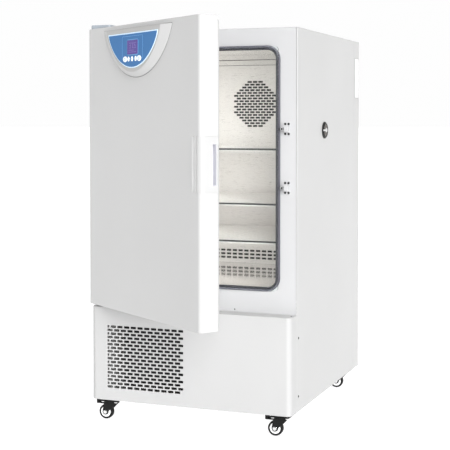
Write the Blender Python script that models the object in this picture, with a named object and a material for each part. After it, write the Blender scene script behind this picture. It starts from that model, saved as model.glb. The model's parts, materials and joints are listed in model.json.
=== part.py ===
"""Laboratory cooling incubator on casters: steel cabinet, outer door with control panel, inner glass door.

The model is built with its front face on the plane y = 0, the cabinet centred on x = 0 and the casters
standing on z = 0. The last step moves the whole model so that the middle of its outline is the origin.
Front is -Y, right is +X seen from the front, up is +Z. All lengths are metres.
"""
import math

import bmesh
import bpy
from mathutils import Matrix

# ---- driving dimensions -------------------------------------------------------------------------
GAP = 0.0003                    # clearance between pieces that touch
SHEET = 0.0015                  # panel sheet
CABINET_W = 0.720
CABINET_D = 0.800
BASE_Z = 0.081                  # underside of the cabinet
TOP_Z = 1.344
LEDGE_Z = 0.402                 # top of the lower front cover
COVER_DEPTH = 0.066             # how far the lower cover stands proud of the front
COVER_R = 0.018
FLANGE_D = 0.080                # side returns of the back panel
FRAME_T = 0.003
FRAME_HALF_W = 0.3558

CHAMBER_HALF_W = 0.289
CHAMBER_Z = (0.488, 1.273)
CHAMBER_BACK = 0.738
CHAMBER_CORNER_R = 0.030
LINER_T = 0.0015
INSULATION_T = 0.035
DUCT_Y = 0.605
DUCT_TOP = 1.252
FAN_Z = 1.104
FAN_R = 0.084

SEAL_W = 0.015                  # ring seal around the chamber opening
SEAL_T = 0.0095
PANE_T = 0.005
PANE_Y = -0.0160                # outer face of the glass
PANE_HALF_W = 0.2985
GLASS_AXIS = (-0.3060, -0.0170)

SHELF_TOPS = (0.947, 0.763, 0.637)
SHELF_HALF_W = 0.2760
SHELF_Y = (0.045, 0.575)
SHELF_LIP = 0.010

DOOR_OPEN_DEG = 35.0
DOOR_EDGE = 0.355               # half the door's width
DOOR_Z = (0.410, 1.351)
DOOR_T = 0.063
DOOR_GAP = 0.009                # cabinet front to the back of the door
DOOR_R = 0.014
DOOR_AXIS = (-0.341, -0.034)
DOOR_FRONT = -(DOOR_GAP + DOOR_T)
DOOR_BACK = -DOOR_GAP
RECESS_Y = -0.031               # how deep the inner liner of the door is dished
RECESS_X = (-0.3295, 0.3345)    # its sides: the latch side clears the two catches
RECESS_MARGIN = 0.0255          # door edge to the recess, top and bottom
SEAL_X = (-0.345, 0.350)
SEAL_MARGIN = 0.010
SEAL_W = 0.013
PIN_R = 0.004
PIN_HOLE_R = 0.0045

PANEL_X = -0.017                # control panel centre on the closed door
PANEL_TOP = 1.3355
PANEL_BASE = (0.215, 0.1565)    # half width and height of the bezel where it meets the door
PANEL_RIM = (0.172, 0.140)      # the same at its raised face
PANEL_RAISE = 0.0165
PANEL_TAPER = 1.43              # 1 gives a half ellipse, more gives straighter flanks
MEMBRANE = (0.1545, 0.106)
MEMBRANE_TOP = 1.316
MEMBRANE_T = 0.0012
DISPLAY_SIZE = (0.067, 0.045)
DISPLAY_X = PANEL_X + 0.004
DISPLAY_Z = 1.273
BUTTON_Z = 1.236
BUTTON_PITCH = 0.0226
BUTTON_HALF = ((0.0126, 0.0090), (0.0062, 0.0080))   # outer two, inner three: half width and height
BUTTON_WELL = 0.0040
BUTTON_PROUD = 0.0014

HANDLE_Z = (0.8255, 0.9925)
HANDLE_X = 0.303
HANDLE_PROUD = 0.0025
POCKET_Y = (-0.0305, -0.0155)
POCKET_Z = (0.845, 0.970)
POCKET_DEPTH = 0.019

WHEEL_R = 0.0255
WHEEL_W = 0.020
WHEEL_SEGMENTS = 32
TRAIL = 0.022
AXLE_R = 0.003
CASTER_X = 0.311
CASTER_Y = (-0.004, 0.745)
PLATE_SIZE = 0.066
PLATE_T = 0.0035
PAD_SIZE = 0.058                # spacer between the base plate and the caster's plate
PAD_T = 0.0105
RACE_R = 0.021
RACE_T = 0.0065
PEDAL_REACH = 0.0565            # swivel axis to the end of the brake pedal
PEDAL_HALF_W = 0.013
PEDAL_Z = (0.0535, 0.0590)
PEDAL_END = (0.0115, 0.0685)    # length and top of the raised end

PORT_YZ = (0.314, 1.006)        # cable port on the right side
LABEL_YZ = ((0.733, 1.128), (0.789, 1.278))
LABEL_T = 0.0008
PORT_COLLAR = ((0.0225, 0.0), (0.0293, 0.0), (0.0293, 0.004), (0.0258, 0.010), (0.0225, 0.010))
PORT_PLUG = ((0, 0), (0.0195, 0.0), (0.0220, 0.003), (0.0220, 0.006), (0.0195, 0.0085), (0, 0.0085))
CATCH_Z = {"upper_catch": 1.012, "lower_catch": 0.819}
CATCH_X = (0.3035, 0.3125, 0.3352)     # tip of the tongue, knob axis, outer edge of the plate
CATCH_HALF_H = 0.0225
CATCH_KNOB_R = 0.0055
COVER_VENT_ROWS = 9
BACK_VENT_ROWS = 6

HINGE_LEAF_T = 0.003            # sheet of both door hinge brackets
UPPER_LEAF = ((-0.356, -0.056), (-0.312, 0.044))     # plan corners
UPPER_FOOT_Y = 0.006            # front of the foot that stands on the top panel
LOWER_LEAF = ((-0.356, -0.052), (-0.310, -GAP))
PIN_LENGTH = 0.014              # how far each pin reaches into the door
HINGE_COVER = ((-0.3598, -0.0640), (-0.286, 0.050))
HINGE_COVER_T = 0.0130
HINGE_COVER_HOLLOW = ((-0.3570, -0.0590), (-0.3105, 0.0465))

EVAPORATOR = ((-0.15, 0.655, 0.60), (0.15, 0.673, 0.90))
CONDENSER = ((-0.29, 0.045, 0.120), (-0.03, 0.065, 0.345))
ELECTRICAL_BOX = ((0.14, 0.08, 0.086), (0.30, 0.16, 0.206))
CIRCULATION_FAN = (0.078, 0.018, 6)     # radius, depth, blades
CONDENSER_FAN = (0.095, 0.022, 5)
CONDENSER_FAN_AT = (-0.16, 0.085, 0.232)
FAN_MOTOR = (0.036, 0.640, 0.700)       # radius, front, back
COMPRESSOR = ((0.0, 0.0), (0.052, 0.0), (0.064, 0.010), (0.066, 0.092), (0.061, 0.126), (0.043, 0.152),
              (0.0, 0.162))             # radius, height
COMPRESSOR_AT = (0.10, 0.50, BASE_Z + 0.0036)

# ---- colours, roughness and metallic value of each finish ---------------------------------------
FINISHES = {
    "white_paint": ((0.80, 0.81, 0.83), 0.38, 0.0),
    "door_paint": ((0.66, 0.655, 0.645), 0.40, 0.0),
    "stainless": ((0.62, 0.60, 0.57), 0.30, 1.0),
    "zinc_plate": ((0.55, 0.56, 0.58), 0.35, 1.0),
    "seal_rubber": ((0.30, 0.29, 0.36), 0.60, 0.0),
    "glass": ((0.90, 0.95, 0.94), 0.05, 0.0),
    "white_plastic": ((0.84, 0.84, 0.86), 0.35, 0.0),
    "bezel_plastic": ((0.68, 0.67, 0.66), 0.38, 0.0),
    "grey_plastic": ((0.55, 0.56, 0.58), 0.45, 0.0),
    "blue_membrane": ((0.06, 0.22, 0.52), 0.30, 0.0),
    "purple_display": ((0.22, 0.08, 0.42), 0.15, 0.0),
    "button_white": ((0.75, 0.84, 0.92), 0.35, 0.0),
    "black_plastic": ((0.02, 0.02, 0.02), 0.45, 0.0),
    "black_steel": ((0.02, 0.02, 0.022), 0.40, 0.6),
    "tyre_rubber": ((0.02, 0.02, 0.02), 0.65, 0.0),
    "mineral_wool": ((0.72, 0.62, 0.38), 0.95, 0.0),
    "aluminium": ((0.70, 0.71, 0.72), 0.40, 1.0),
    "label_silver": ((0.70, 0.71, 0.73), 0.35, 0.4),
}


# ---- building blocks ----------------------------------------------------------------------------
def clear_scene():
    for old in list(bpy.data.objects):
        bpy.data.objects.remove(old, do_unlink=True)


def material(node, finish):
    colour, roughness, metallic = FINISHES[finish]
    look = bpy.data.materials.new(node)
    look.use_nodes = True
    shader = look.node_tree.nodes["Principled BSDF"]
    shader.inputs["Base Color"].default_value = (*colour, 1.0)
    shader.inputs["Roughness"].default_value = roughness
    shader.inputs["Metallic"].default_value = metallic
    look.diffuse_color = (*colour, 1.0)
    return look


def pivot(name, location, parent=None, turn_z=0.0):
    """An empty that carries a moving group; its origin is on the joint's axis."""
    empty = bpy.data.objects.new(name, None)
    bpy.context.scene.collection.objects.link(empty)
    empty.parent = parent
    empty.location = location
    empty.rotation_euler.z = turn_z
    return empty


def place(name, mesh, finish, parent, location=(0, 0, 0), smooth_angle=None):
    node = bpy.data.objects.new(name, mesh)
    bpy.context.scene.collection.objects.link(node)
    node.parent = parent
    node.location = location
    if not mesh.materials:
        mesh.materials.append(None)
    node.material_slots[0].link = "OBJECT"
    node.material_slots[0].material = material(name, finish)
    if smooth_angle:
        mesh.shade_smooth()
        mesh.set_sharp_from_angle(angle=math.radians(smooth_angle))
    return node


def to_mesh(bm, name):
    bmesh.ops.recalc_face_normals(bm, faces=bm.faces)
    mesh = bpy.data.meshes.new(name)
    bm.to_mesh(mesh)
    bm.free()
    return mesh


def box(low, high):
    bm = bmesh.new()
    bmesh.ops.create_cube(bm, size=1.0)
    size = [high[i] - low[i] for i in range(3)]
    middle = [(high[i] + low[i]) / 2 for i in range(3)]
    bmesh.ops.scale(bm, vec=size, verts=bm.verts)
    bmesh.ops.translate(bm, vec=middle, verts=bm.verts)
    return to_mesh(bm, "box")


def box_between(a, b):
    low = [min(a[i], b[i]) for i in range(3)]
    high = [max(a[i], b[i]) for i in range(3)]
    return box(low, high)


def lay(point, along, height):
    """A point of a flat outline, put at a height along X, Y or Z."""
    u, v = point
    if along == "X":
        return (height, u, v)
    if along == "Y":
        return (u, height, v)
    return (u, v, height)


def loft(bottom, top, low, high, along="Z"):
    """A closed solid between two outlines with the same number of points."""
    bm = bmesh.new()
    lower = [bm.verts.new(lay(p, along, low)) for p in bottom]
    upper = [bm.verts.new(lay(p, along, high)) for p in top]
    bm.faces.new(lower)
    bm.faces.new(upper)
    count = len(lower)
    for i in range(count):
        j = (i + 1) % count
        bm.faces.new((lower[i], lower[j], upper[j], upper[i]))
    return to_mesh(bm, "loft")


def prism(outline, low, high, along="Z"):
    return loft(outline, outline, low, high, along)


def ring_prism(outer, inner, low, high, along="Z"):
    """A flat ring between two outlines with the same number of points."""
    bm = bmesh.new()
    loops = []
    for outline in (outer, inner):
        for height in (low, high):
            loops.append([bm.verts.new(lay(p, along, height)) for p in outline])
    outer_low, outer_high, inner_low, inner_high = loops
    count = len(outer)
    for i in range(count):
        j = (i + 1) % count
        for a, b in ((outer_low, outer_high), (inner_low, inner_high), (outer_low, inner_low),
                     (outer_high, inner_high)):
            bm.faces.new((a[i], a[j], b[j], b[i]))
    return to_mesh(bm, "ring")


def arc(centre, radius, start_deg, end_deg, steps):
    points = []
    for i in range(steps + 1):
        angle = math.radians(start_deg + (end_deg - start_deg) * i / steps)
        points.append((centre[0] + radius * math.cos(angle), centre[1] + radius * math.sin(angle)))
    return points


def rounded_rectangle(low, high, radius, steps=4):
    corners = ((high[0] - radius, high[1] - radius, 0), (low[0] + radius, high[1] - radius, 90),
               (low[0] + radius, low[1] + radius, 180), (high[0] - radius, low[1] + radius, 270))
    points = []
    for x, y, start in corners:
        points += arc((x, y), radius, start, start + 90, steps)
    return points


def front_rounded(half_w, front, back, radius, steps=5):
    """A plan outline with its two front corners rounded and its back corners square."""
    points = [(half_w, back), (-half_w, back)]
    points += arc((-half_w + radius, front + radius), radius, 180, 270, steps)
    points += arc((half_w - radius, front + radius), radius, 270, 360, steps)
    return points


def cylinder(radius, low, high, centre=(0.0, 0.0), along="Z", segments=20):
    return prism(arc(centre, radius, 0, 360 * (segments - 1) / segments, segments - 1), low, high, along)


def turned(profile, segments, along="Y", phase=0.0):
    """A closed ring turned from a closed (radius, height) profile."""
    bm = bmesh.new()
    rings = []
    for i in range(segments):
        angle = 2 * math.pi * i / segments + phase
        rings.append([bm.verts.new(lay((r * math.cos(angle), r * math.sin(angle)), along, h))
                      for r, h in profile])
    for i in range(segments):
        here, after = rings[i], rings[(i + 1) % segments]
        for j in range(len(profile)):
            k = (j + 1) % len(profile)
            bm.faces.new((here[j], here[k], after[k], after[j]))
    return to_mesh(bm, "turned")


def turned_solid(profile, segments):
    """A closed solid turned about Z from a profile that starts and ends on the axis."""
    bm = bmesh.new()
    bottom = bm.verts.new((0, 0, profile[0][1]))
    top = bm.verts.new((0, 0, profile[-1][1]))
    rings = []
    for r, h in profile[1:-1]:
        around = [2 * math.pi * i / segments for i in range(segments)]
        rings.append([bm.verts.new((r * math.cos(a), r * math.sin(a), h)) for a in around])
    for i in range(segments):
        j = (i + 1) % segments
        bm.faces.new((bottom, rings[0][j], rings[0][i]))
        bm.faces.new((top, rings[-1][i], rings[-1][j]))
        for a, b in zip(rings, rings[1:]):
            bm.faces.new((a[i], a[j], b[j], b[i]))
    return to_mesh(bm, "turned_solid")


def open_box(low, high, walls):
    """A box with no front: walls gives the thickness of each side wall and of the back."""
    side, back = walls
    inner_low = (low[0] + side, low[1], low[2] + side)
    inner_high = (high[0] - side, high[1] - back, high[2] - side)
    bm = bmesh.new()
    shells = []
    for a, b in ((low, high), (inner_low, inner_high)):
        shells.append({(i, j, k): bm.verts.new(((a, b)[i][0], (a, b)[j][1], (a, b)[k][2]))
                       for i in (0, 1) for j in (0, 1) for k in (0, 1)})
    around = ((0, 0), (1, 0), (1, 1), (0, 1))
    for shell in shells:
        bm.faces.new([shell[(i, 1, k)] for i, k in around])
        for n in range(4):
            (i, k), (m, o) = around[n], around[(n + 1) % 4]
            bm.faces.new((shell[(i, 0, k)], shell[(m, 0, o)], shell[(m, 1, o)], shell[(i, 1, k)]))
    outer, inner = shells
    for n in range(4):
        (i, k), (m, o) = around[n], around[(n + 1) % 4]
        bm.faces.new((outer[(i, 0, k)], outer[(m, 0, o)], inner[(m, 0, o)], inner[(i, 0, k)]))
    return to_mesh(bm, "open_box")


def combine(base, others, operation):
    """The base mesh after a Boolean with each of the other meshes."""
    scene = bpy.context.scene.collection
    body = bpy.data.objects.new("body", base)
    scene.objects.link(body)
    helpers = [body]
    for other in others:
        helper = bpy.data.objects.new("helper", other)
        scene.objects.link(helper)
        helpers.append(helper)
        step = body.modifiers.new("step", "BOOLEAN")
        step.operation = operation
        step.solver = "EXACT"
        step.object = helper
    bpy.context.view_layer.update()
    result = bpy.data.meshes.new_from_object(body.evaluated_get(bpy.context.evaluated_depsgraph_get()))
    for helper in helpers:
        bpy.data.objects.remove(helper, do_unlink=True)
    return result


def moved(mesh, offset):
    mesh.transform(Matrix.Translation(offset))
    return mesh


def slot_cutter(slots, low, high, along="Y"):
    """One mesh of separate blocks, one for each (u0, v0, u1, v1) slot."""
    bm = bmesh.new()
    for u0, v0, u1, v1 in slots:
        corners = ((u0, v0), (u1, v0), (u1, v1), (u0, v1))
        near = [bm.verts.new(lay(p, along, low)) for p in corners]
        far = [bm.verts.new(lay(p, along, high)) for p in corners]
        bm.faces.new(near)
        bm.faces.new(far)
        for i in range(4):
            j = (i + 1) % 4
            bm.faces.new((near[i], near[j], far[j], far[i]))
    return to_mesh(bm, "slots")


def half_oval(half_w, height, top, centre=0.0, steps=22):
    """A flat-topped tongue: full at the top, round at the bottom."""
    points = []
    for i in range(steps + 1):
        angle = math.pi * (1 + i / steps)
        depth = abs(math.sin(angle)) ** PANEL_TAPER
        points.append((centre + half_w * math.cos(angle), top - height * depth))
    return points


# ---- cabinet ------------------------------------------------------------------------------------
def side_panel(root, name, side):
    inner = CABINET_W / 2 - SHEET
    outer = CABINET_W / 2
    lip = CABINET_W / 2 - 0.003
    back = CABINET_D - FLANGE_D - GAP * 3
    outline = [(side * outer, 0.002), (side * outer, back), (side * inner, back), (side * inner, 0.012),
               (side * lip, 0.012), (side * lip, 0.0), (side * (outer - 0.002), 0.0)]
    place(name, prism(outline, BASE_Z, TOP_Z - SHEET - GAP), "white_paint", root)


def back_panel(root):
    outer = CABINET_W / 2
    inner = outer - SHEET
    front = CABINET_D - FLANGE_D
    outline = [(outer, front), (outer, CABINET_D), (-outer, CABINET_D), (-outer, front), (-inner, front),
               (-inner, CABINET_D - SHEET), (inner, CABINET_D - SHEET), (inner, front)]
    panel = prism(outline, BASE_Z, TOP_Z - SHEET - GAP)
    vents = []
    for row in range(BACK_VENT_ROWS):
        z = 0.14 + row * 0.034
        vents += [(x, z, x + 0.15, z + 0.008) for x in (-0.26, -0.075, 0.11)]
    panel = combine(panel, [slot_cutter(vents, CABINET_D - 0.01, CABINET_D + 0.01)], "DIFFERENCE")
    place("back_panel", panel, "white_paint", root)
    flange = prism(rounded_rectangle((0.222, 0.128), (0.278, 0.166), 0.004, 3), CABINET_D + GAP,
                   CABINET_D + 0.004, "Y")
    place("power_inlet", flange, "black_plastic", root)


def top_panel(root):
    outer = CABINET_W / 2
    section = [(-outer, TOP_Z - SHEET), (-outer, TOP_Z - 0.0007), (-outer + 0.0007, TOP_Z),
               (outer - 0.0007, TOP_Z), (outer, TOP_Z - 0.0007), (outer, TOP_Z - SHEET)]
    place("top_panel", prism(section, 0.0, CABINET_D, "Y"), "white_paint", root)


def front_frame(root):
    low, high = (-FRAME_HALF_W, 0.385), (FRAME_HALF_W, TOP_Z - SHEET - GAP)
    outer = rounded_rectangle(low, high, 0.002, 6)
    inner = rounded_rectangle((-CHAMBER_HALF_W, CHAMBER_Z[0]), (CHAMBER_HALF_W, CHAMBER_Z[1]),
                              CHAMBER_CORNER_R, 6)
    place("front_frame", ring_prism(outer, inner, 0.0, FRAME_T, "Y"), "white_paint", root)


def chamber(root):
    side = CHAMBER_HALF_W + LINER_T
    low = (-side, FRAME_T + GAP, CHAMBER_Z[0] - LINER_T)
    high = (side, CHAMBER_BACK, CHAMBER_Z[1] + LINER_T)
    place("chamber_liner", open_box(low, high, (LINER_T, LINER_T)), "stainless", root)
    grow = INSULATION_T + GAP
    low = (low[0] - grow, low[1], low[2] - grow)
    high = (high[0] + grow, high[1] + grow, high[2] + grow)
    place("cabinet_insulation", open_box(low, high, (INSULATION_T, INSULATION_T)), "mineral_wool", root)
    ring_outer = rounded_rectangle((-CHAMBER_HALF_W - SEAL_W, CHAMBER_Z[0] - SEAL_W),
                                   (CHAMBER_HALF_W + SEAL_W, CHAMBER_Z[1] + SEAL_W),
                                   CHAMBER_CORNER_R + SEAL_W, 6)
    ring_inner = rounded_rectangle((-CHAMBER_HALF_W, CHAMBER_Z[0]), (CHAMBER_HALF_W, CHAMBER_Z[1]),
                                   CHAMBER_CORNER_R, 6)
    place("chamber_gasket", ring_prism(ring_outer, ring_inner, -SEAL_T, -GAP, "Y"), "seal_rubber", root)


def duct_panel(root):
    half_w = CHAMBER_HALF_W - GAP * 2
    panel = box((-half_w, DUCT_Y, CHAMBER_Z[0] + GAP), (half_w, DUCT_Y + SHEET, DUCT_TOP))
    slots = []
    rows = 8
    for row in range(rows):
        z = FAN_Z + FAN_R * (2 * (row + 0.5) / rows - 1)
        reach = math.sqrt(FAN_R ** 2 - (z - FAN_Z) ** 2)
        slots += [(-reach, z - 0.005, -0.004, z + 0.005), (0.004, z - 0.005, reach, z + 0.005)]
    for z in (0.512, 0.522, 0.532):
        slots += [(x, z - 0.0025, x + 0.080, z + 0.0025) for x in (-0.27, -0.18, -0.09, 0.01, 0.10, 0.19)]
    panel = combine(panel, [slot_cutter(slots, DUCT_Y - 0.01, DUCT_Y + 0.01)], "DIFFERENCE")
    place("duct_panel", panel, "stainless", root)


def fan_mesh(radius, depth, blades):
    """A hub with straight-sided blades, turning about Y."""
    hub = radius * 0.28
    outline = []
    for blade in range(blades):
        start = 360 * blade / blades
        outline += arc((0, 0), hub, start, start + 16, 2)
        outline += arc((0, 0), radius, start + 22, start + 52, 3)
    return prism(outline, -depth / 2, depth / 2, "Y")


def cooling_and_air(root):
    place("evaporator", box(*EVAPORATOR), "aluminium", root)
    fan_at = (0, DUCT_Y + 0.022, FAN_Z)
    place("circulation_fan", fan_mesh(*CIRCULATION_FAN), "black_plastic", root, fan_at, 30)
    place("circulation_fan_motor", cylinder(*FAN_MOTOR, (0, FAN_Z), "Y", 20), "zinc_plate", root)
    place("condenser", box(*CONDENSER), "aluminium", root)
    place("condenser_fan", fan_mesh(*CONDENSER_FAN), "black_plastic", root, CONDENSER_FAN_AT, 30)
    place("compressor", turned_solid(COMPRESSOR, 20), "black_steel", root, COMPRESSOR_AT, 40)
    place("electrical_box", box(*ELECTRICAL_BOX), "grey_plastic", root)


def shelf(root, name, top):
    front, back = SHELF_Y
    outline = [(front, top), (front, top - SHELF_LIP), (front + SHEET, top - SHELF_LIP),
               (front + SHEET, top - SHEET), (back - SHEET, top - SHEET), (back - SHEET, top - SHELF_LIP),
               (back, top - SHELF_LIP), (back, top)]
    tray = prism(outline, -SHELF_HALF_W, SHELF_HALF_W, "X")
    starts = [-0.24 + 0.0522 * i for i in range(10)]
    slots = [(x, front + 0.03, x + 0.012, back - 0.03) for x in starts]
    tray = combine(tray, [slot_cutter(slots, top - 0.006, top + 0.004, "Z")], "DIFFERENCE")
    place(name, tray, "stainless", root)


def shelf_rails(root, name, side):
    """Two uprights and three angle rails, welded into one ladder on a side wall."""
    wall = side * (CHAMBER_HALF_W - GAP)
    strip = side * (CHAMBER_HALF_W - 0.004)
    pieces = []
    for y in (0.09, 0.51):
        pieces.append(box_between((strip, y, 0.52), (wall, y + 0.022, 1.20)))
    for top in SHELF_TOPS:
        ledge = top - SHELF_LIP - GAP
        inner = side * 0.245
        pieces.append(box_between((inner, 0.050, ledge - 0.0015), (wall, 0.570, ledge)))
        pieces.append(box_between((strip, 0.0502, ledge - 0.014), (wall, 0.5698, ledge - 0.001)))
    place(name, combine(pieces[0], pieces[1:], "UNION"), "stainless", root)


def lower_cover(root):
    half_w = CABINET_W / 2
    outer = prism(front_rounded(half_w, -COVER_DEPTH, -GAP, COVER_R), BASE_Z, LEDGE_Z)
    hollow = prism(front_rounded(half_w - SHEET, -COVER_DEPTH + SHEET, 0.01, COVER_R - SHEET),
                   BASE_Z - 0.01, LEDGE_Z - SHEET)
    slots = []
    for row in range(COVER_VENT_ROWS):
        z = 0.1305 + row * 0.0245
        slots += [(x, z - 0.004, x + 0.064, z + 0.004) for x in (-0.299, -0.227, -0.155, -0.083)]
    vents = slot_cutter(slots, -COVER_DEPTH - 0.01, -COVER_DEPTH + 0.01)
    place("lower_front_cover", combine(outer, [hollow, vents], "DIFFERENCE"), "white_paint", root)


def base_plate(root):
    half_w = CABINET_W / 2 - 0.003 - GAP * 2
    front = -COVER_DEPTH + SHEET + 0.019
    plate = box((-half_w, front, BASE_Z + GAP), (half_w, CABINET_D - SHEET - GAP, BASE_Z + 0.0033))
    place("base_plate", plate, "zinc_plate", root)


def side_fittings(root):
    """The cable port with its plug, and the blank rating plate, on the right side panel."""
    side = CABINET_W / 2 + GAP
    y, z = PORT_YZ
    collar = moved(turned(PORT_COLLAR, 24, "X"), (side, y, z))
    place("side_port", collar, "black_plastic", root, smooth_angle=35)
    plug = turned_solid(PORT_PLUG, 24)
    plug.transform(Matrix.Rotation(math.pi / 2, 4, "Y"))
    place("port_plug", moved(plug, (side, y, z)), "grey_plastic", root, smooth_angle=35)
    label = prism(rounded_rectangle(*LABEL_YZ, 0.003, 3), side, side + LABEL_T, "X")
    place("rating_plate", label, "label_silver", root)


def catch(root, name, z):
    """A screwed plate with a knob whose tongue reaches over the seal to the edge of the glass."""
    tip, axis, edge = CATCH_X
    knob_r = CATCH_KNOB_R
    left = axis - knob_r + 0.001
    outline = rounded_rectangle((left, z - CATCH_HALF_H), (edge, z + CATCH_HALF_H), 0.004, 3)
    plate = prism(outline, -0.0045, -GAP, "Y")
    outline = rounded_rectangle((axis + knob_r, z - 0.010), (edge - 0.002, z + 0.010), 0.003, 3)
    block = prism(outline, -0.019, -0.004, "Y")
    knob = cylinder(knob_r, -0.0225, -0.004, (axis, z), "Y", 18)
    tongue = box((tip, -0.0185, z - 0.004), (axis, -0.0115, z + 0.004))
    arm = box((axis, -0.0175, z - 0.005), (axis + knob_r + 0.001, -0.0105, z + 0.005))
    place(name, combine(plate, [block, arm, knob, tongue], "UNION"), "zinc_plate", root)


def upper_hinge(root):
    top = DOOR_Z[1] + 0.0012
    (left, front), (right, back) = UPPER_LEAF
    arm = box((left, front, top), (right, back, top + HINGE_LEAF_T))
    foot = box((left, UPPER_FOOT_Y, TOP_Z + GAP), (right, back, top + 0.001))
    pin = cylinder(PIN_R, DOOR_Z[1] - PIN_LENGTH, top + 0.001, DOOR_AXIS, segments=16)
    place("upper_hinge_bracket", combine(arm, [foot, pin], "UNION"), "zinc_plate", root)
    cover = prism(rounded_rectangle(*HINGE_COVER, 0.008, 4), top - 0.0006, top + HINGE_COVER_T)
    over_arm = top + HINGE_LEAF_T + 0.001
    hollow = prism(rounded_rectangle(*HINGE_COVER_HOLLOW, 0.004, 4), top - 0.01, over_arm)
    beneath = box((-0.40, 0.0003, top - 0.004), (-0.25, 0.09, top - 0.0001))
    place("hinge_cover", combine(cover, [hollow, beneath], "DIFFERENCE"), "white_plastic", root)


def lower_hinge(root):
    low = LEDGE_Z + GAP
    (left, front), (right, back) = LOWER_LEAF
    leaf = box((left, front, low), (right, back, low + HINGE_LEAF_T))
    upstand = box((left, -0.0028, low + 0.001), (right + 0.008, back, 0.4175))
    pin = cylinder(PIN_R, low + 0.001, DOOR_Z[0] + PIN_LENGTH, DOOR_AXIS, segments=16)
    place("lower_hinge_bracket", combine(leaf, [upstand, pin], "UNION"), "zinc_plate", root)


# ---- casters ------------------------------------------------------------------------------------
def caster_plate_mesh():
    """A top plate below its spacer, with the raceway that carries the fork."""
    pad = prism(rounded_rectangle((-PAD_SIZE / 2,) * 2, (PAD_SIZE / 2,) * 2, 0.009, 3), -PAD_T - 0.001, 0.0)
    low = -PAD_T - PLATE_T
    plate = prism(rounded_rectangle((-PLATE_SIZE / 2,) * 2, (PLATE_SIZE / 2,) * 2, 0.009, 3), low, -PAD_T)
    raceway = cylinder(RACE_R, low - RACE_T, low + 0.001, segments=24)
    return combine(plate, [pad, raceway], "UNION")


def fork_mesh():
    """A fork with its axle and brake pedal, hung from the swivel axis; the wheel trails towards -X."""
    top = BASE_Z - PAD_T - PLATE_T - RACE_T - 2 * GAP
    cheek = [(0.021, top), (-0.024, top), (-0.028, top - 0.010), (-TRAIL - 0.0075, WHEEL_R),
             (-TRAIL - 0.005, WHEEL_R - 0.0065), (-TRAIL + 0.005, WHEEL_R - 0.0065),
             (-TRAIL + 0.010, WHEEL_R), (0.008, top - 0.015), (0.020, top - 0.005)]
    inner = WHEEL_W / 2 + 0.0015
    outer = inner + 0.0025
    crown = box((-0.024, -outer, top - 0.003), (0.021, outer, top))
    cheeks = [prism(cheek, side * inner, side * outer, "Y") for side in (-1, 1)]
    axle = cylinder(AXLE_R, -outer - 0.0035, outer + 0.0035, (-TRAIL, WHEEL_R), "Y", 12)
    tip = -PEDAL_REACH
    length, end_top = PEDAL_END
    pedal = prism(rounded_rectangle((tip, -PEDAL_HALF_W), (-0.019, PEDAL_HALF_W), 0.004, 3), *PEDAL_Z)
    end = prism(rounded_rectangle((tip, -PEDAL_HALF_W), (tip + length, PEDAL_HALF_W), 0.004, 3),
                PEDAL_Z[0], end_top)
    return combine(crown, cheeks + [axle, pedal, end], "UNION")


def wheel_mesh():
    """A wheel whose flat facet faces the floor."""
    rim = WHEEL_R / math.cos(math.pi / WHEEL_SEGMENTS)
    half = WHEEL_W / 2
    profile = [(AXLE_R + 0.0004, -half), (0.0075, -half), (0.0085, -half + 0.003), (0.018, -half + 0.003),
               (0.0195, -half), (rim - 0.003, -half), (rim, -half + 0.004), (rim, half - 0.004),
               (rim - 0.003, half), (0.0195, half), (0.018, half - 0.003), (0.0085, half - 0.003),
               (0.0075, half), (AXLE_R + 0.0004, half)]
    return turned(profile, WHEEL_SEGMENTS, "Y", math.pi / WHEEL_SEGMENTS - math.pi / 2)


def casters(root):
    plate, fork, wheel = caster_plate_mesh(), fork_mesh(), wheel_mesh()
    for front, y in zip(("front", "rear"), CASTER_Y):
        for side, x in (("left", -CASTER_X), ("right", CASTER_X)):
            name = f"{front}_{side}"
            place(f"{name}_caster_plate", plate, "black_steel", root, (x, y, BASE_Z - GAP))
            swivel = pivot(f"{name}_swivel", (x, y, 0), root)
            place(f"{name}_caster_fork", fork, "black_steel", swivel)
            place(f"{name}_caster_wheel", wheel, "tyre_rubber", swivel, (-TRAIL, 0, WHEEL_R), 40)


# ---- outer door ---------------------------------------------------------------------------------
def in_door(mesh):
    """Meshes of the door are drawn where the closed door is, then hung on its hinge axis."""
    return moved(mesh, (-DOOR_AXIS[0], -DOOR_AXIS[1], 0))


def handle_notch(clearance):
    edge = DOOR_EDGE + 0.05
    return box((HANDLE_X - clearance, DOOR_FRONT - 0.05, HANDLE_Z[0] - clearance),
               (edge, DOOR_BACK - 0.004 + clearance, HANDLE_Z[1] + clearance))


def door_shell(hinge):
    outer = prism(front_rounded(DOOR_EDGE, DOOR_FRONT, DOOR_BACK, DOOR_R, 6), *DOOR_Z)
    hollow = prism(front_rounded(DOOR_EDGE - SHEET, DOOR_FRONT + SHEET, 0.02, DOOR_R - SHEET, 6),
                   DOOR_Z[0] + SHEET, DOOR_Z[1] - SHEET)
    pins = cylinder(PIN_HOLE_R, DOOR_Z[0] - 0.02, DOOR_Z[1] + 0.02, DOOR_AXIS, segments=16)
    back_corner = prism([(-DOOR_EDGE - 0.01, DOOR_BACK - 0.003), (-DOOR_EDGE + 0.003, DOOR_BACK + 0.01),
                         (-DOOR_EDGE - 0.01, DOOR_BACK + 0.01)], DOOR_Z[0] - 0.01, DOOR_Z[1] + 0.01)
    skin = combine(outer, [hollow, pins, handle_notch(GAP), back_corner], "DIFFERENCE")
    place("door_skin", in_door(skin), "door_paint", hinge, smooth_angle=30)


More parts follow.
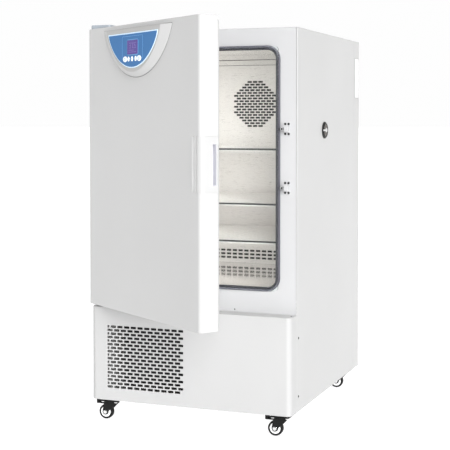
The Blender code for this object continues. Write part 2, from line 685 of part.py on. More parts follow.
def door_liner(hinge):
    """The dished inner face of the door: a flange for the gasket round a flat recess."""
    edge = DOOR_EDGE - SHEET - GAP
    z0, z1 = DOOR_Z[0] + SHEET + GAP, DOOR_Z[1] - SHEET - GAP
    left, right = RECESS_X
    bottom, top = DOOR_Z[0] + RECESS_MARGIN, DOOR_Z[1] - RECESS_MARGIN
    block = box((-edge, RECESS_Y - SHEET, z0), (edge, DOOR_BACK, z1))
    recess = box((left, RECESS_Y, bottom), (right, 0.02, top))
    around = rounded_rectangle((-edge - 0.01, z0 - 0.01), (edge + 0.01, z1 + 0.01), 0.002, 2)
    dish = rounded_rectangle((left - SHEET, bottom - SHEET), (right + SHEET, top + SHEET), 0.002, 2)
    behind = ring_prism(around, dish, RECESS_Y - 0.01, DOOR_BACK - SHEET, "Y")
    liner = combine(block, [recess, behind], "DIFFERENCE")
    place("door_liner", in_door(liner), "white_plastic", hinge)


def door_core(hinge):
    edge = DOOR_EDGE - 0.018
    core = box((-edge, DOOR_FRONT + SHEET + GAP, DOOR_Z[0] + 0.020),
               (HANDLE_X - 0.004, RECESS_Y - SHEET - GAP, DOOR_Z[1] - 0.020))
    place("door_insulation", in_door(core), "mineral_wool", hinge)
    left, right = SEAL_X
    bottom, top = DOOR_Z[0] + SEAL_MARGIN, DOOR_Z[1] - SEAL_MARGIN
    outside = rounded_rectangle((left, bottom), (right, top), 0.010, 4)
    inside = rounded_rectangle((left + SEAL_W, bottom + SEAL_W), (right - SEAL_W, top - SEAL_W), 0.004, 4)
    seal = ring_prism(outside, inside, DOOR_BACK + GAP, -0.0012, "Y")
    place("door_gasket", in_door(seal), "seal_rubber", hinge)


def door_handle(hinge):
    front, right = DOOR_FRONT - HANDLE_PROUD, DOOR_EDGE + HANDLE_PROUD
    back = DOOR_BACK - 0.004
    radius = DOOR_R + HANDLE_PROUD
    core_back = RECESS_Y - SHEET - GAP * 2
    step = RECESS_X[1] + SHEET + GAP * 2
    outline = [(right, back), (step, back), (step, core_back), (HANDLE_X, core_back),
               (HANDLE_X, front + 0.002), (HANDLE_X + 0.002, front)]
    outline += arc((right - radius, front + radius), radius, 270, 360, 6)
    grip = prism(outline, HANDLE_Z[0], HANDLE_Z[1])
    inside = box((HANDLE_X + 0.0025, DOOR_FRONT + 0.0025, HANDLE_Z[0] + 0.0025),
                 (DOOR_EDGE - 0.004 - POCKET_DEPTH - 0.002, back + 0.02, HANDLE_Z[1] - 0.0025))
    pocket = box((right - POCKET_DEPTH, POCKET_Y[0], POCKET_Z[0]),
                 (right + 0.02, POCKET_Y[1], POCKET_Z[1]))
    grip = combine(grip, [inside, pocket], "DIFFERENCE")
    place("door_handle", in_door(grip), "white_plastic", hinge, smooth_angle=30)
    wall = 0.0011
    low = (right - POCKET_DEPTH + GAP, POCKET_Y[0] + GAP, POCKET_Z[0] + GAP)
    high = (right + 0.0005, POCKET_Y[1] - GAP, POCKET_Z[1] - GAP)
    liner = box(low, high)
    hollow = box((low[0] + wall, low[1] + wall, low[2] + wall),
                 (high[0] + 0.01, high[1] - wall, high[2] - wall))
    place("handle_insert", in_door(combine(liner, [hollow], "DIFFERENCE")), "grey_plastic", hinge)


def oval(centre, half, steps=16):
    return [(centre[0] + half[0] * math.cos(2 * math.pi * i / steps),
             centre[1] + half[1] * math.sin(2 * math.pi * i / steps)) for i in range(steps)]


def control_panel(hinge):
    face = DOOR_FRONT - PANEL_RAISE
    base = half_oval(*PANEL_BASE, PANEL_TOP, PANEL_X)
    rim = half_oval(*PANEL_RIM, PANEL_TOP - 0.001, PANEL_X)
    bezel = loft(base, rim, DOOR_FRONT - GAP, face, "Y")
    film_back = face - GAP
    film_front = film_back - MEMBRANE_T
    film = prism(half_oval(*MEMBRANE, MEMBRANE_TOP, PANEL_X), film_back, film_front, "Y")
    wells, holes, centres = [], [], []
    for i in range(5):
        half = BUTTON_HALF[0] if i in (0, 4) else BUTTON_HALF[1]
        spread = (i - 2) * BUTTON_PITCH
        centre = (PANEL_X + spread, BUTTON_Z)
        clear = (half[0] + 0.0004, half[1] + 0.0004)
        wells.append(prism(oval(centre, clear), face - 0.01, face + BUTTON_WELL, "Y"))
        holes.append(prism(oval(centre, clear), face - 0.01, face + 0.01, "Y"))
        centres.append((centre, half))
    place("control_bezel", in_door(combine(bezel, wells, "DIFFERENCE")), "bezel_plastic", hinge,
          smooth_angle=30)
    place("control_membrane", in_door(combine(film, holes, "DIFFERENCE")), "blue_membrane", hinge)
    half_w, half_h = DISPLAY_SIZE[0] / 2, DISPLAY_SIZE[1] / 2
    outline = rounded_rectangle((DISPLAY_X - half_w, DISPLAY_Z - half_h),
                                (DISPLAY_X + half_w, DISPLAY_Z + half_h), 0.003, 3)
    window = prism(outline, film_front - GAP, film_front - 0.0015, "Y")
    place("display_window", in_door(window), "purple_display", hinge)
    for i, (centre, half) in enumerate(centres):
        # each key stands a little proud of the film, and has room behind it for its travel
        key = prism(oval((0, 0), half), -BUTTON_PROUD, MEMBRANE_T + GAP + BUTTON_WELL - 0.0013, "Y")
        place(f"button_{i + 1}", key, "button_white", hinge,
              (centre[0] - DOOR_AXIS[0], film_front - DOOR_AXIS[1], centre[1]))


def outer_door(root):
    hinge = pivot("door_hinge_axis", (*DOOR_AXIS, 0), root, -math.radians(DOOR_OPEN_DEG))
    door_shell(hinge)
    door_liner(hinge)
    door_core(hinge)
    door_handle(hinge)
    control_panel(hinge)


# ---- inner glass door ---------------------------------------------------------------------------
def glass_door(root):
    axis = pivot("glass_door_axis", (*GLASS_AXIS, 0), root)
    shift = (-GLASS_AXIS[0], -GLASS_AXIS[1], 0)
    left = GLASS_AXIS[0] + 0.0105
    z0, z1 = CHAMBER_Z[0] - SEAL_W + 0.003, CHAMBER_Z[1] + SEAL_W - 0.003
    pane = prism(rounded_rectangle((left, z0), (PANE_HALF_W, z1), 0.012, 4), PANE_Y, PANE_Y + PANE_T, "Y")
    place("glass_door_pane", moved(pane, shift), "glass", axis)
    x, y = GLASS_AXIS
    strip = box((x - 0.001, PANE_Y - 0.0045, z0 + 0.05), (x + 0.026, PANE_Y - GAP, z1 - 0.05))
    barrel = cylinder(0.0042, z0 + 0.03, z1 - 0.03, (x, y), segments=14)
    place("glass_hinge_strip", moved(combine(barrel, [strip], "UNION"), shift), "aluminium", axis)


def centre_on_origin(root):
    """Move the model so that the middle of its outline, at floor level, is the origin."""
    bpy.context.view_layer.update()
    corners = []
    for node in bpy.data.objects:
        if node.type == "MESH":
            corners += [node.matrix_world @ vertex.co for vertex in node.data.vertices]
    middle = [(min(c[i] for c in corners) + max(c[i] for c in corners)) / 2 for i in (0, 1)]
    root.location = (-middle[0], -middle[1], 0)
    bpy.context.view_layer.update()


def build():
    clear_scene()
    root = pivot("incubator", (0, 0, 0))
    base_plate(root)
    side_panel(root, "left_side_panel", -1)
    side_panel(root, "right_side_panel", 1)
    top_panel(root)
    back_panel(root)
    front_frame(root)
    chamber(root)
    duct_panel(root)
    cooling_and_air(root)
    for name, top in zip(("upper_shelf", "middle_shelf", "lower_shelf"), SHELF_TOPS):
        shelf(root, name, top)
    shelf_rails(root, "left_shelf_rails", -1)
    shelf_rails(root, "right_shelf_rails", 1)
    lower_cover(root)
    side_fittings(root)
    for name, z in CATCH_Z.items():
        catch(root, name, z)
    upper_hinge(root)
    lower_hinge(root)
    casters(root)
    outer_door(root)
    glass_door(root)
    centre_on_origin(root)


build()
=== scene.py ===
"""Looks of the laboratory cooling incubator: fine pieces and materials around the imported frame.

Every piece is placed from the boxes of the CAD nodes that it belongs to. Pieces of the outer door are drawn
in the door's own frame: hinge axis at the origin, door shut, front towards -Y. Lengths are metres.
"""

import json
import math

import bmesh
import bpy
from mathutils import Matrix, Vector
from mathutils.geometry import delaunay_2d_cdt


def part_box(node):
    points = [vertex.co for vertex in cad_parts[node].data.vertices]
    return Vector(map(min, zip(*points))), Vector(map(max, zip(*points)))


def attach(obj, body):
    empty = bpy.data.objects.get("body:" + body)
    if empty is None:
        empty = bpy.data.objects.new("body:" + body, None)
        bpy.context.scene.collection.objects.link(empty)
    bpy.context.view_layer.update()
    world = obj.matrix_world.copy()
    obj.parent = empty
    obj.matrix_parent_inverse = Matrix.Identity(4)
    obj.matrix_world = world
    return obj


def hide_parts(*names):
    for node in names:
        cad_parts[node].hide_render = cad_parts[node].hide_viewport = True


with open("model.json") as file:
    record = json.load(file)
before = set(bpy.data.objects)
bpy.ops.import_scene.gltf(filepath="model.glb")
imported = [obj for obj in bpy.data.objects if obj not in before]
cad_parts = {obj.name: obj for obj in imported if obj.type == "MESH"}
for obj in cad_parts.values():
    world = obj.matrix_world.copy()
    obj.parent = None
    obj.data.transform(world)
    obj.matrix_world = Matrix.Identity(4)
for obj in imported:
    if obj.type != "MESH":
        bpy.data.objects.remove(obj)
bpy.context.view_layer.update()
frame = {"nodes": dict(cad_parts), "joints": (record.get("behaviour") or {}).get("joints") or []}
NODES = frame["nodes"]
SCENE = bpy.context.scene

# ---- the door's own frame ----
DOOR_JOINT = next(joint for joint in frame["joints"] if joint["name"] == "door_hinge")
DOOR_OPEN = math.radians(DOOR_JOINT["range_deg"][0])
HINGE = Vector((DOOR_JOINT["pos_m"][0], DOOR_JOINT["pos_m"][1], 0.0))
DOOR = Matrix.Translation(HINGE) @ Matrix.Rotation(DOOR_OPEN, 4, "Z")
WORLD = Matrix.Identity(4)

# ---- sheet, edges and patterns ----
SHEET = 0.0015                  # outer sheet and chamber walls
THIN_SHEET = 0.0010             # duct panel, trays and the visible chamber pan
DOOR_SHEET = 0.0012
GAP = 0.0003                    # clearance round a fitted piece
GRILLE = {"left": 0.061, "right": 0.343, "bottom": 0.047, "top": 0.254, "rows": 18}
GRILLE_PITCH = 0.0251
GRILLE_SLOT = (0.0200, 0.0084)
GUARD_Z = 1.104                 # middle of the fan guard
GUARD_R = 0.0935
GUARD_ROW = 0.0106
GUARD_PITCH = 0.0222
GUARD_SLOT = (0.0184, 0.0074)
FLOOR_SLOT = (0.0184, 0.0078)
FLOOR_SLOT_PITCH = 0.0240
FLOOR_SLOTS_Z = (0.508, 0.522, 0.536)
TRAY_SLOT = (0.0290, 0.0080)
TRAY_SLOT_PITCH = 0.0380
TRAY_ROWS = 24
LOUVRE = {"first": (0.1225, 0.140), "pitch": (0.0594, 0.0175), "columns": 9, "rows": 11}
LOUVRE_HALF = (0.0240, 0.0036)
CHAMBER_R = 0.030
COVER_SCREWS_Z = (0.131, 0.324)
REAR_SCREWS_Z = (0.36, 0.85)
DUCT_SCREWS_Z = (0.88, 0.56)
INLET_ZONE = (0.19, 0.185)      # no louvres past this x and under this z, where the inlet sits
BAND_INSET = 0.0062             # the handle's front band at its ends
BAND_BOW = 0.0046               # how much further out it reaches at mid height
BAND_BULGE = 0.0022
BOW_STEPS = 24                  # levels of the handle's height
GROOVE_DEPTH = 0.0016
FORK_TOP = 0.0599               # top of a caster's fork, below its swivel ring
KEYS = [f"button_{i}" for i in range(1, 6)]
ACROSS = {"X": (1, 2, 0), "Y": (0, 2, 1), "Z": (0, 1, 2)}   # two axes of a face and the axis through it


# ---- mesh helpers ----
def to_mesh(bm, name="mesh"):
    """The mesh made from a bmesh, which is freed, with its normals facing outwards."""
    bmesh.ops.recalc_face_normals(bm, faces=bm.faces)
    mesh = bpy.data.meshes.new(name)
    bm.to_mesh(mesh)
    bm.free()
    return mesh


def lay(point, along, height):
    """A flat point put in space, at a height along one axis."""
    u, v = point
    return {"X": (height, u, v), "Y": (u, height, v), "Z": (u, v, height)}[along]


def rectangle(low, high):
    return [(low[0], low[1]), (high[0], low[1]), (high[0], high[1]), (low[0], high[1])]


def arc(centre, radius, start_deg, end_deg, steps):
    """Points along an arc, both ends included."""
    points = []
    for i in range(steps + 1):
        angle = math.radians(start_deg + (end_deg - start_deg) * i / steps)
        points.append((centre[0] + radius * math.cos(angle), centre[1] + radius * math.sin(angle)))
    return points


def rounded(low, high, radius, inset=0.0, steps=6):
    """A rectangle with round corners, moved inwards by inset."""
    x0, y0, x1, y1 = low[0] + inset, low[1] + inset, high[0] - inset, high[1] - inset
    r = max(radius - inset, 0.0001)
    corners = ((x1 - r, y1 - r, 0), (x0 + r, y1 - r, 90), (x0 + r, y0 + r, 180), (x1 - r, y0 + r, 270))
    points = []
    for x, y, start in corners:
        points += arc((x, y), r, start, start + 90, steps)
    return points


def quarter(steps):
    """Pairs (sine, cosine) over a right angle in equal steps."""
    angles = [math.pi / 2 * i / steps for i in range(steps + 1)]
    return [(math.sin(angle), math.cos(angle)) for angle in angles]


def outline_of(low, high, radius, steps=6, along="Y"):
    """The outline of a box seen along an axis, with round corners, as a function of the inset."""
    u, v, _ = ACROSS[along]
    return lambda inset: rounded((low[u], low[v]), (high[u], high[v]), radius, inset, steps)


def oval(centre, half, inset=0.0, count=40):
    points = []
    for i in range(count):
        angle = 2 * math.pi * i / count
        points.append((centre[0] + (half[0] - inset) * math.cos(angle),
                       centre[1] + (half[1] - inset) * math.sin(angle)))
    return points


def tongue(centre_x, half_w, height, top, inset=0.0, count=56, taper=1.43):
    """The control panel's outline: flat on top and round below."""
    points = []
    for i in range(count + 1):
        angle = math.pi * (1 + i / count)
        drop = (height - 2 * inset) * abs(math.sin(angle)) ** taper
        points.append((centre_x + (half_w - inset) * math.cos(angle), top - inset - drop))
    return points


def tongue_round(centre_x, low, high, wider=0.0, taller=0.0, higher=0.0):
    """The control panel's outline round a box, as a function of the inset."""
    half_w, height = (high.x - low.x) / 2, high.z - low.z
    return lambda inset: tongue(centre_x, half_w + wider, height + taller, high.z + higher, inset)


def skin(rings, caps=(True, True), closed=True, around=False):
    """Faces between rings of points; around also joins the last ring to the first."""
    bm = bmesh.new()
    loops = [[bm.verts.new(point) for point in ring] for ring in rings]
    pairs = list(zip(loops, loops[1:]))
    if around:
        pairs.append((loops[-1], loops[0]))
    for lower, upper in pairs:
        count = len(lower)
        for i in range(count if closed else count - 1):
            j = (i + 1) % count
            bm.faces.new((lower[i], lower[j], upper[j], upper[i]))
    if caps[0] and not around:
        bm.faces.new(loops[0])
    if caps[1] and not around:
        bm.faces.new(loops[-1])
    return to_mesh(bm)


def crown(outline, back, front, radius, along="Y", steps=4, back_radius=0.0):
    """A plate from back to front whose front edge, and back edge if wanted, is rounded."""
    way = math.copysign(1.0, front - back)
    rings = [(0.0, back)]
    if back_radius:
        rings = [(back_radius * (1 - s), back + way * back_radius * (1 - c)) for s, c in quarter(steps)]
    rings += [(radius * (1 - c), front - way * radius * (1 - s)) for s, c in quarter(steps)]
    return loft(outline, rings, along)


def block(low, high, radius=0.0, along="Y", edge=0.0001):
    """A block with round corners across one axis and a soft edge on both faces."""
    through = ACROSS[along][2]
    outline = outline_of(low, high, max(radius, edge + 0.0001), 4, along)
    return crown(outline, low[through], high[through], edge, along, 2, edge)


def turned(profile, segments=32, along="Y"):
    """A solid turned from a closed (radius, height) profile, which may touch the axis."""
    bm = bmesh.new()
    loops = []
    for i in range(segments):
        angle = 2 * math.pi * i / segments
        ring = [lay((r * math.cos(angle), r * math.sin(angle)), along, h) for r, h in profile]
        loops.append([bm.verts.new(point) for point in ring])
    for i in range(segments):
        here, after = loops[i], loops[(i + 1) % segments]
        for j in range(len(profile)):
            k = (j + 1) % len(profile)
            if profile[j][0] > 1e-7 or profile[k][0] > 1e-7:
                bm.faces.new((here[j], here[k], after[k], after[j]))
    bmesh.ops.remove_doubles(bm, verts=bm.verts, dist=1e-7)
    return to_mesh(bm)


def rod(radius, start, stop, segments, along="Y"):
    """A plain round bar between two heights."""
    return turned([(0, start), (radius, start), (radius, stop), (0, stop)], segments, along)


def loft(outline, levels, along="Y", **how):
    """A skin through (inset, height) levels of an outline."""
    return skin([[lay(p, along, height) for p in outline(inset)] for inset, height in levels], **how)


def ring_sweep(outline, profile, along="Y"):
    """A closed ring: a closed (inset, height) profile carried round an outline."""
    return loft(outline, profile, along, around=True)


def carve(mesh, cutters, operation="DIFFERENCE"):
    """The mesh after a Boolean with each cutter."""
    body = bpy.data.objects.new("body", mesh)
    helpers = [body]
    SCENE.collection.objects.link(body)
    for cutter in cutters:
        helper = bpy.data.objects.new("helper", cutter)
        SCENE.collection.objects.link(helper)
        helpers.append(helper)
        step = body.modifiers.new("carve", "BOOLEAN")
        step.operation = operation
        step.solver = "EXACT"
        step.object = helper
    result = finished(body)
    for helper in helpers:
        bpy.data.objects.remove(helper, do_unlink=True)
    return result


def finished(obj):
    """The object's mesh with its modifiers worked in."""
    bpy.context.view_layer.update()
    return bpy.data.meshes.new_from_object(obj.evaluated_get(bpy.context.evaluated_depsgraph_get()))


def joined(meshes):
    """Several separate meshes as one."""
    bm = bmesh.new()
    for mesh in meshes:
        bm.from_mesh(mesh)
    return to_mesh(bm, "joined")


def moved(mesh, offset, turn=WORLD):
    """A copy of the mesh, turned and then shifted."""
    copy = mesh.copy()
    copy.transform(Matrix.Translation(offset) @ turn)
    return copy


def slot_outline(u, v, half_u, half_v, steps=2):
    """A slot's outline; its corners are round to nearly half its width."""
    return rounded((u - half_u, v - half_v), (u + half_u, v + half_v), min(half_u, half_v) * 0.45, 0.0, steps)


def brick_row(left, right, v, pitch, size, shifted):
    """One row of slots; every other row is shifted by half a pitch and starts with a short slot."""
    slots = []
    start = left - pitch / 2 if shifted else left
    while start < right - 0.002:
        u0, u1 = max(start, left), min(start + size[0], right)
        if u1 - u0 > size[1] * 0.8:
            slots.append(slot_outline((u0 + u1) / 2, v, (u1 - u0) / 2, size[1] / 2))
        start += pitch
    return slots


def sheet_with_holes(outline, holes, place, folds=()):
    """A sheet drawn flat in (u, v), with holes, and put in space by place(u, v). Folds are straight lines
    across it where it bends, each given by its two end points."""
    points, faces, edges = [], [], []
    for loop in [outline, *holes]:
        faces.append(list(range(len(points), len(points) + len(loop))))
        points += [Vector(p) for p in loop]
    for start, end in folds:
        edges.append((len(points), len(points) + 1))
        points += [Vector(start), Vector(end)]
    verts, _, triangles, _, _, origin = delaunay_2d_cdt(points, edges, faces, 1, 1e-7)
    bm = bmesh.new()
    made = [bm.verts.new(place(v.x, v.y)) for v in verts]
    for triangle, sources in zip(triangles, origin):
        if list(sources) == [0]:
            bm.faces.new([made[i] for i in triangle])
    bmesh.ops.delete(bm, geom=[v for v in bm.verts if not v.link_faces], context="VERTS")
    return bm


class Channel:
    """A sheet folded into a channel and drawn flat: a length along it gives a point (across, out)."""

    def __init__(self, width, depth, radius, steps):
        turn = math.pi / 2 * radius
        self.width, self.depth, self.radius = width, depth, radius
        self.side = depth - radius
        self.web = (self.side + turn, self.side + turn + width - 2 * radius)
        self.length = self.web[1] + turn + self.side
        starts = (self.side, self.web[1])
        self.bends = [start + turn * i / steps for start in starts for i in range(steps + 1)]

    def point(self, u, inset=0.0):
        r = self.radius - inset
        if u <= self.side:
            return inset, u
        if u <= self.web[0]:
            angle = (u - self.side) / self.radius
            return self.radius - r * math.cos(angle), self.side + r * math.sin(angle)
        if u <= self.web[1]:
            return self.radius + u - self.web[0], self.depth - inset
        if u <= self.length - self.side:
            angle = (u - self.web[1]) / self.radius
            return self.width - self.radius + r * math.sin(angle), self.side + r * math.cos(angle)
        return self.width - inset, self.length - u


def face_towards(mesh, direction):
    """Flips an open sheet whose largest face looks away from direction."""
    largest = max(mesh.polygons, key=lambda face: face.area)
    if largest.normal.dot(Vector(direction)) < 0:
        mesh.flip_normals()
    return mesh


def thickened(mesh, thickness):
    """An open sheet with its thickness added behind its visible face."""
    helper = bpy.data.objects.new("helper", mesh)
    SCENE.collection.objects.link(helper)
    step = helper.modifiers.new("thickness", "SOLIDIFY")
    step.thickness = thickness
    step.offset = -1.0
    step.use_even_offset = True
    result = finished(helper)
    bpy.data.objects.remove(helper, do_unlink=True)
    return result


def soften(obj, width, angle_deg=35):
    """Small round edges; the finished mesh keeps its shape."""
    step = obj.modifiers.new("soft_edges", "BEVEL")
    step.width = width
    step.segments = 2
    step.limit_method = "ANGLE"
    step.angle_limit = math.radians(angle_deg)
    step.harden_normals = True


def door_box(node):
    """Lowest and highest corner of a CAD node in the door's own frame."""
    back = DOOR.inverted()
    corners = [back @ vertex.co for vertex in NODES[node].data.vertices]
    low = Vector([min(corner[i] for corner in corners) for i in range(3)])
    high = Vector([max(corner[i] for corner in corners) for i in range(3)])
    return low, high


def centre(node):
    low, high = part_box(node)
    return (low + high) / 2


def piece(name, mesh, finish, body, replaces=(), smooth=35, place=None):
    """One piece of the visual model, which rides on a body and may stand for CAD nodes. What belongs to the
    door or its keys is drawn in the door's own frame."""
    obj = bpy.data.objects.new(name, mesh)
    SCENE.collection.objects.link(obj)
    obj.matrix_world = place or (DOOR if body in ("door", *KEYS) else WORLD)
    if mesh.materials:
        mesh.materials[0] = finish
    else:
        mesh.materials.append(finish)
    mesh.shade_smooth()
    mesh.set_sharp_from_angle(angle=math.radians(smooth))
    even = obj.modifiers.new("even_shading", "WEIGHTED_NORMAL")
    even.keep_sharp = True
    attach(obj, body)
    if replaces:
        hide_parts(*replaces)
    return obj


def dress(node, finish, edge=0.0, smooth=True):
    """A CAD node that stays gets its material, and soft edges where they show."""
    obj = NODES[node]
    for slot in obj.material_slots:
        slot.material = finish
    if smooth:
        obj.data.shade_smooth()
        obj.data.set_sharp_from_angle(angle=math.radians(30))
    if edge:
        soften(obj, edge)


# ---- materials ----
def set_inputs(node, **values):
    """Sets a node's sockets; an underscore in a name stands for a space."""
    for socket, value in values.items():
        node.inputs[socket.replace("_", " ")].default_value = value


def look(name, dark, light, roughness, metallic=0.0, drift=2.5, grain=700.0, relief=0.08, depth=0.0002,
         stretch=(1.0, 1.0, 1.0), **sockets):
    """A finish whose tone drifts slowly between dark and light, with a fine grain in gloss and relief."""
    made = bpy.data.materials.new(name)
    made.use_nodes = True
    nodes, links = made.node_tree.nodes, made.node_tree.links
    shader = nodes["Principled BSDF"]
    set_inputs(shader, Metallic=metallic, **sockets)

    def add(kind, **values):
        node = nodes.new(f"ShaderNode{kind}")
        set_inputs(node, **values)
        return node

    coords = add("TexCoord")
    mapping = add("Mapping", Scale=stretch)
    slow = add("TexNoise", Scale=drift, Detail=3.0)
    fine = add("TexNoise", Scale=grain, Detail=2.0)
    links.new(coords.outputs["Object"], mapping.inputs["Vector"])
    links.new(coords.outputs["Object"], slow.inputs["Vector"])
    links.new(mapping.outputs["Vector"], fine.inputs["Vector"])

    weaken = add("Math")
    weaken.operation = "MULTIPLY"
    weaken.inputs[1].default_value = 0.65
    blend = add("Math")
    blend.operation = "MULTIPLY_ADD"
    blend.inputs[1].default_value = 0.35
    blend.use_clamp = True
    tones = add("ValToRGB")
    for element, position, colour in zip(tones.color_ramp.elements, (0.35, 0.65), (dark, light)):
        element.position = position
        element.color = (*colour, 1.0)
    links.new(slow.outputs["Fac"], weaken.inputs[0])
    links.new(fine.outputs["Fac"], blend.inputs[0])
    links.new(weaken.outputs["Value"], blend.inputs[2])
    links.new(blend.outputs["Value"], tones.inputs["Fac"])
    links.new(tones.outputs["Color"], shader.inputs["Base Color"])

    gloss = add("MapRange", From_Min=0.3, From_Max=0.7, To_Min=roughness[0], To_Max=roughness[1])
    links.new(fine.outputs["Fac"], gloss.inputs["Value"])
    links.new(gloss.outputs["Result"], shader.inputs["Roughness"])

    bump = add("Bump", Strength=relief, Distance=depth)
    links.new(fine.outputs["Fac"], bump.inputs["Height"])
    links.new(bump.outputs["Normal"], shader.inputs["Normal"])
    return made


def grey(name, dark, light, roughness, metallic=0.0, tint=(1.0, 1.0, 1.0), **rest):
    """A finish that drifts between two tones of grey, slightly tinted if wanted."""
    tones = [tuple(value * part for part in tint) for value in (dark, light)]
    return look(name, *tones, roughness, metallic, **rest)


COOL = (0.982, 0.985, 1.0)
NEUTRAL = (1.0, 1.0, 0.998)
IVORY = (1.0, 0.992, 0.98)
WARM = (1.0, 0.965, 0.945)
MATT = {"Specular_IOR_Level": 0.18}
MOULDED = {"grain": 1500.0, "relief": 0.04}
PRINTED = {"grain": 1600.0}
BRUSHED = {"drift": 1.4, "grain": 1500.0, "relief": 0.0}

WHITE_PAINT = grey("white_powder_coat", 0.48, 0.505, (0.36, 0.46), tint=COOL, relief=0.05)
# Painted shade: the lower cover's coat is a darker copy of the white powder coat, for the light that falls on
# it.
COVER_PAINT_SHADED = grey("cover_powder_coat_painted_shade", 0.425, 0.445, (0.38, 0.48), relief=0.05)
# Painted shade: the side and rear coat is a darker copy of the white powder coat, for the light that falls on
# the sides.
SIDE_PAINT_SHADED = grey("side_powder_coat_painted_shade", 0.435, 0.455, (0.40, 0.50), tint=NEUTRAL, relief=0.05)
DOOR_PAINT = grey("door_powder_coat", 0.485, 0.505, (0.34, 0.44), tint=NEUTRAL, relief=0.05)

# Painted shade: a darker copy of the white moulding for the bezel's front face, against its lighter flank.
BEZEL_FACE_SHADED = grey("bezel_face_painted_shade", 0.38, 0.405, (0.34, 0.42), tint=IVORY, grain=1500.0, relief=0.03)
HANDLE = grey("white_moulding", 0.46, 0.485, (0.30, 0.38), **MOULDED)
# Painted light: a lighter copy of the white moulding for the handle's front faces.
HANDLE_FRONT_LIT = grey("white_moulding_front_painted_light", 0.50, 0.53, (0.30, 0.38), **MOULDED)
# Painted shade: a dark tone for the bottoms of the handle's grooves.
GROOVE_SHADE = grey("moulding_groove_painted_shade", 0.26, 0.30, (0.50, 0.60), **MOULDED)
LINER_PLASTIC = grey("liner_plastic", 0.76, 0.80, (0.30, 0.42), grain=900.0, relief=0.05)
HINGE_PLASTIC = look("hinge_cover_plastic", (0.26, 0.29, 0.32), (0.29, 0.32, 0.355), (0.30, 0.40),
                     grain=1500.0)
GREY_PLASTIC = grey("grey_moulding", 0.50, 0.56, (0.42, 0.52), tint=COOL, grain=1500.0)
PALE_PLASTIC = look("pocket_moulding", (0.60, 0.60, 0.64), (0.64, 0.64, 0.68), (0.42, 0.52), grain=1500.0)
STOPPER = look("port_stopper", (0.10, 0.092, 0.085), (0.14, 0.13, 0.12), (0.42, 0.52), grain=1500.0, **MATT)
BLACK_PLASTIC = grey("black_moulding", 0.010, 0.018, (0.34, 0.44), grain=900.0, **MATT)

STAINLESS = grey("stainless_sheet", 0.715, 0.74, (0.27, 0.31), 0.45, tint=WARM,
                 stretch=(0.03, 1.0, 1.0), **BRUSHED)
LINER_STEEL = grey("chamber_steel", 0.76, 0.79, (0.05, 0.08), 0.75, tint=WARM,
                   stretch=(0.03, 0.03, 1.0), **BRUSHED)
# Painted shade: a nearly black steel for the trays' front bars, whose fronts fall in shadow.
SHELF_EDGE_SHADE = grey("shelf_edge_painted_shade", 0.035, 0.06, (0.26, 0.34), 0.6, tint=WARM, drift=9.0,
                  grain=420.0)
ZINC = grey("zinc_plate", 0.60, 0.68, (0.26, 0.36), 1.0, drift=30.0, grain=500.0)
CHROME = grey("bright_screws", 0.78, 0.84, (0.12, 0.20), 1.0, drift=60.0, grain=900.0)
ALUMINIUM = grey("aluminium", 0.68, 0.74, (0.28, 0.38), 1.0, grain=300.0,
                 stretch=(1.0, 1.0, 0.02))
DARK_SCREW = grey("dark_screws", 0.012, 0.022, (0.42, 0.52), drift=60.0, grain=900.0, **MATT)
# Dark coated fins, also used as painted shade: the chamber walls behind the duct panel take it so that the
# slots read dark.
DARK_FINS_AND_SHADE = grey("coated_fins_and_painted_shade", 0.010, 0.018, (0.45, 0.60), drift=30.0, grain=300.0, **MATT)
BLACK_STEEL = grey("black_enamel", 0.004, 0.009, (0.42, 0.52), drift=20.0, grain=500.0, **MATT)

SEAL = look("seal_silicone", (0.070, 0.069, 0.088), (0.088, 0.087, 0.108), (0.44, 0.54), grain=900.0)
SEAL_DARK = look("seal_lip", (0.012, 0.012, 0.018), (0.020, 0.019, 0.027), (0.50, 0.60), grain=900.0)
DOOR_SEAL = grey("door_seal_silicone", 0.36, 0.41, (0.44, 0.54), grain=900.0)
TYRE = grey("tyre_rubber", 0.004, 0.008, (0.55, 0.66), relief=0.15, **MATT)
RIM = grey("wheel_rim", 0.86, 0.90, (0.28, 0.36), grain=900.0)
WOOL = look("mineral_wool", (0.52, 0.44, 0.24), (0.70, 0.61, 0.38), (0.90, 0.98), drift=30.0, relief=0.6,
            depth=0.002)
LABEL = grey("label_film", 0.66, 0.70, (0.30, 0.38), tint=NEUTRAL, grain=1200.0, relief=0.02)
# Painted shade: the dark ring round the label's foot stands in for its edge shadow.
LABEL_EDGE_SHADE = grey("label_edge_painted_shade", 0.24, 0.30, (0.40, 0.50), grain=1200.0, relief=0.02)
# Painted shade: a dark grey ring at the bezel's foot stands in for the shadow line round it.
BEZEL_FOOT_SHADE = grey("bezel_foot_painted_shade", 0.20, 0.26, (0.50, 0.60), grain=1200.0, relief=0.02)

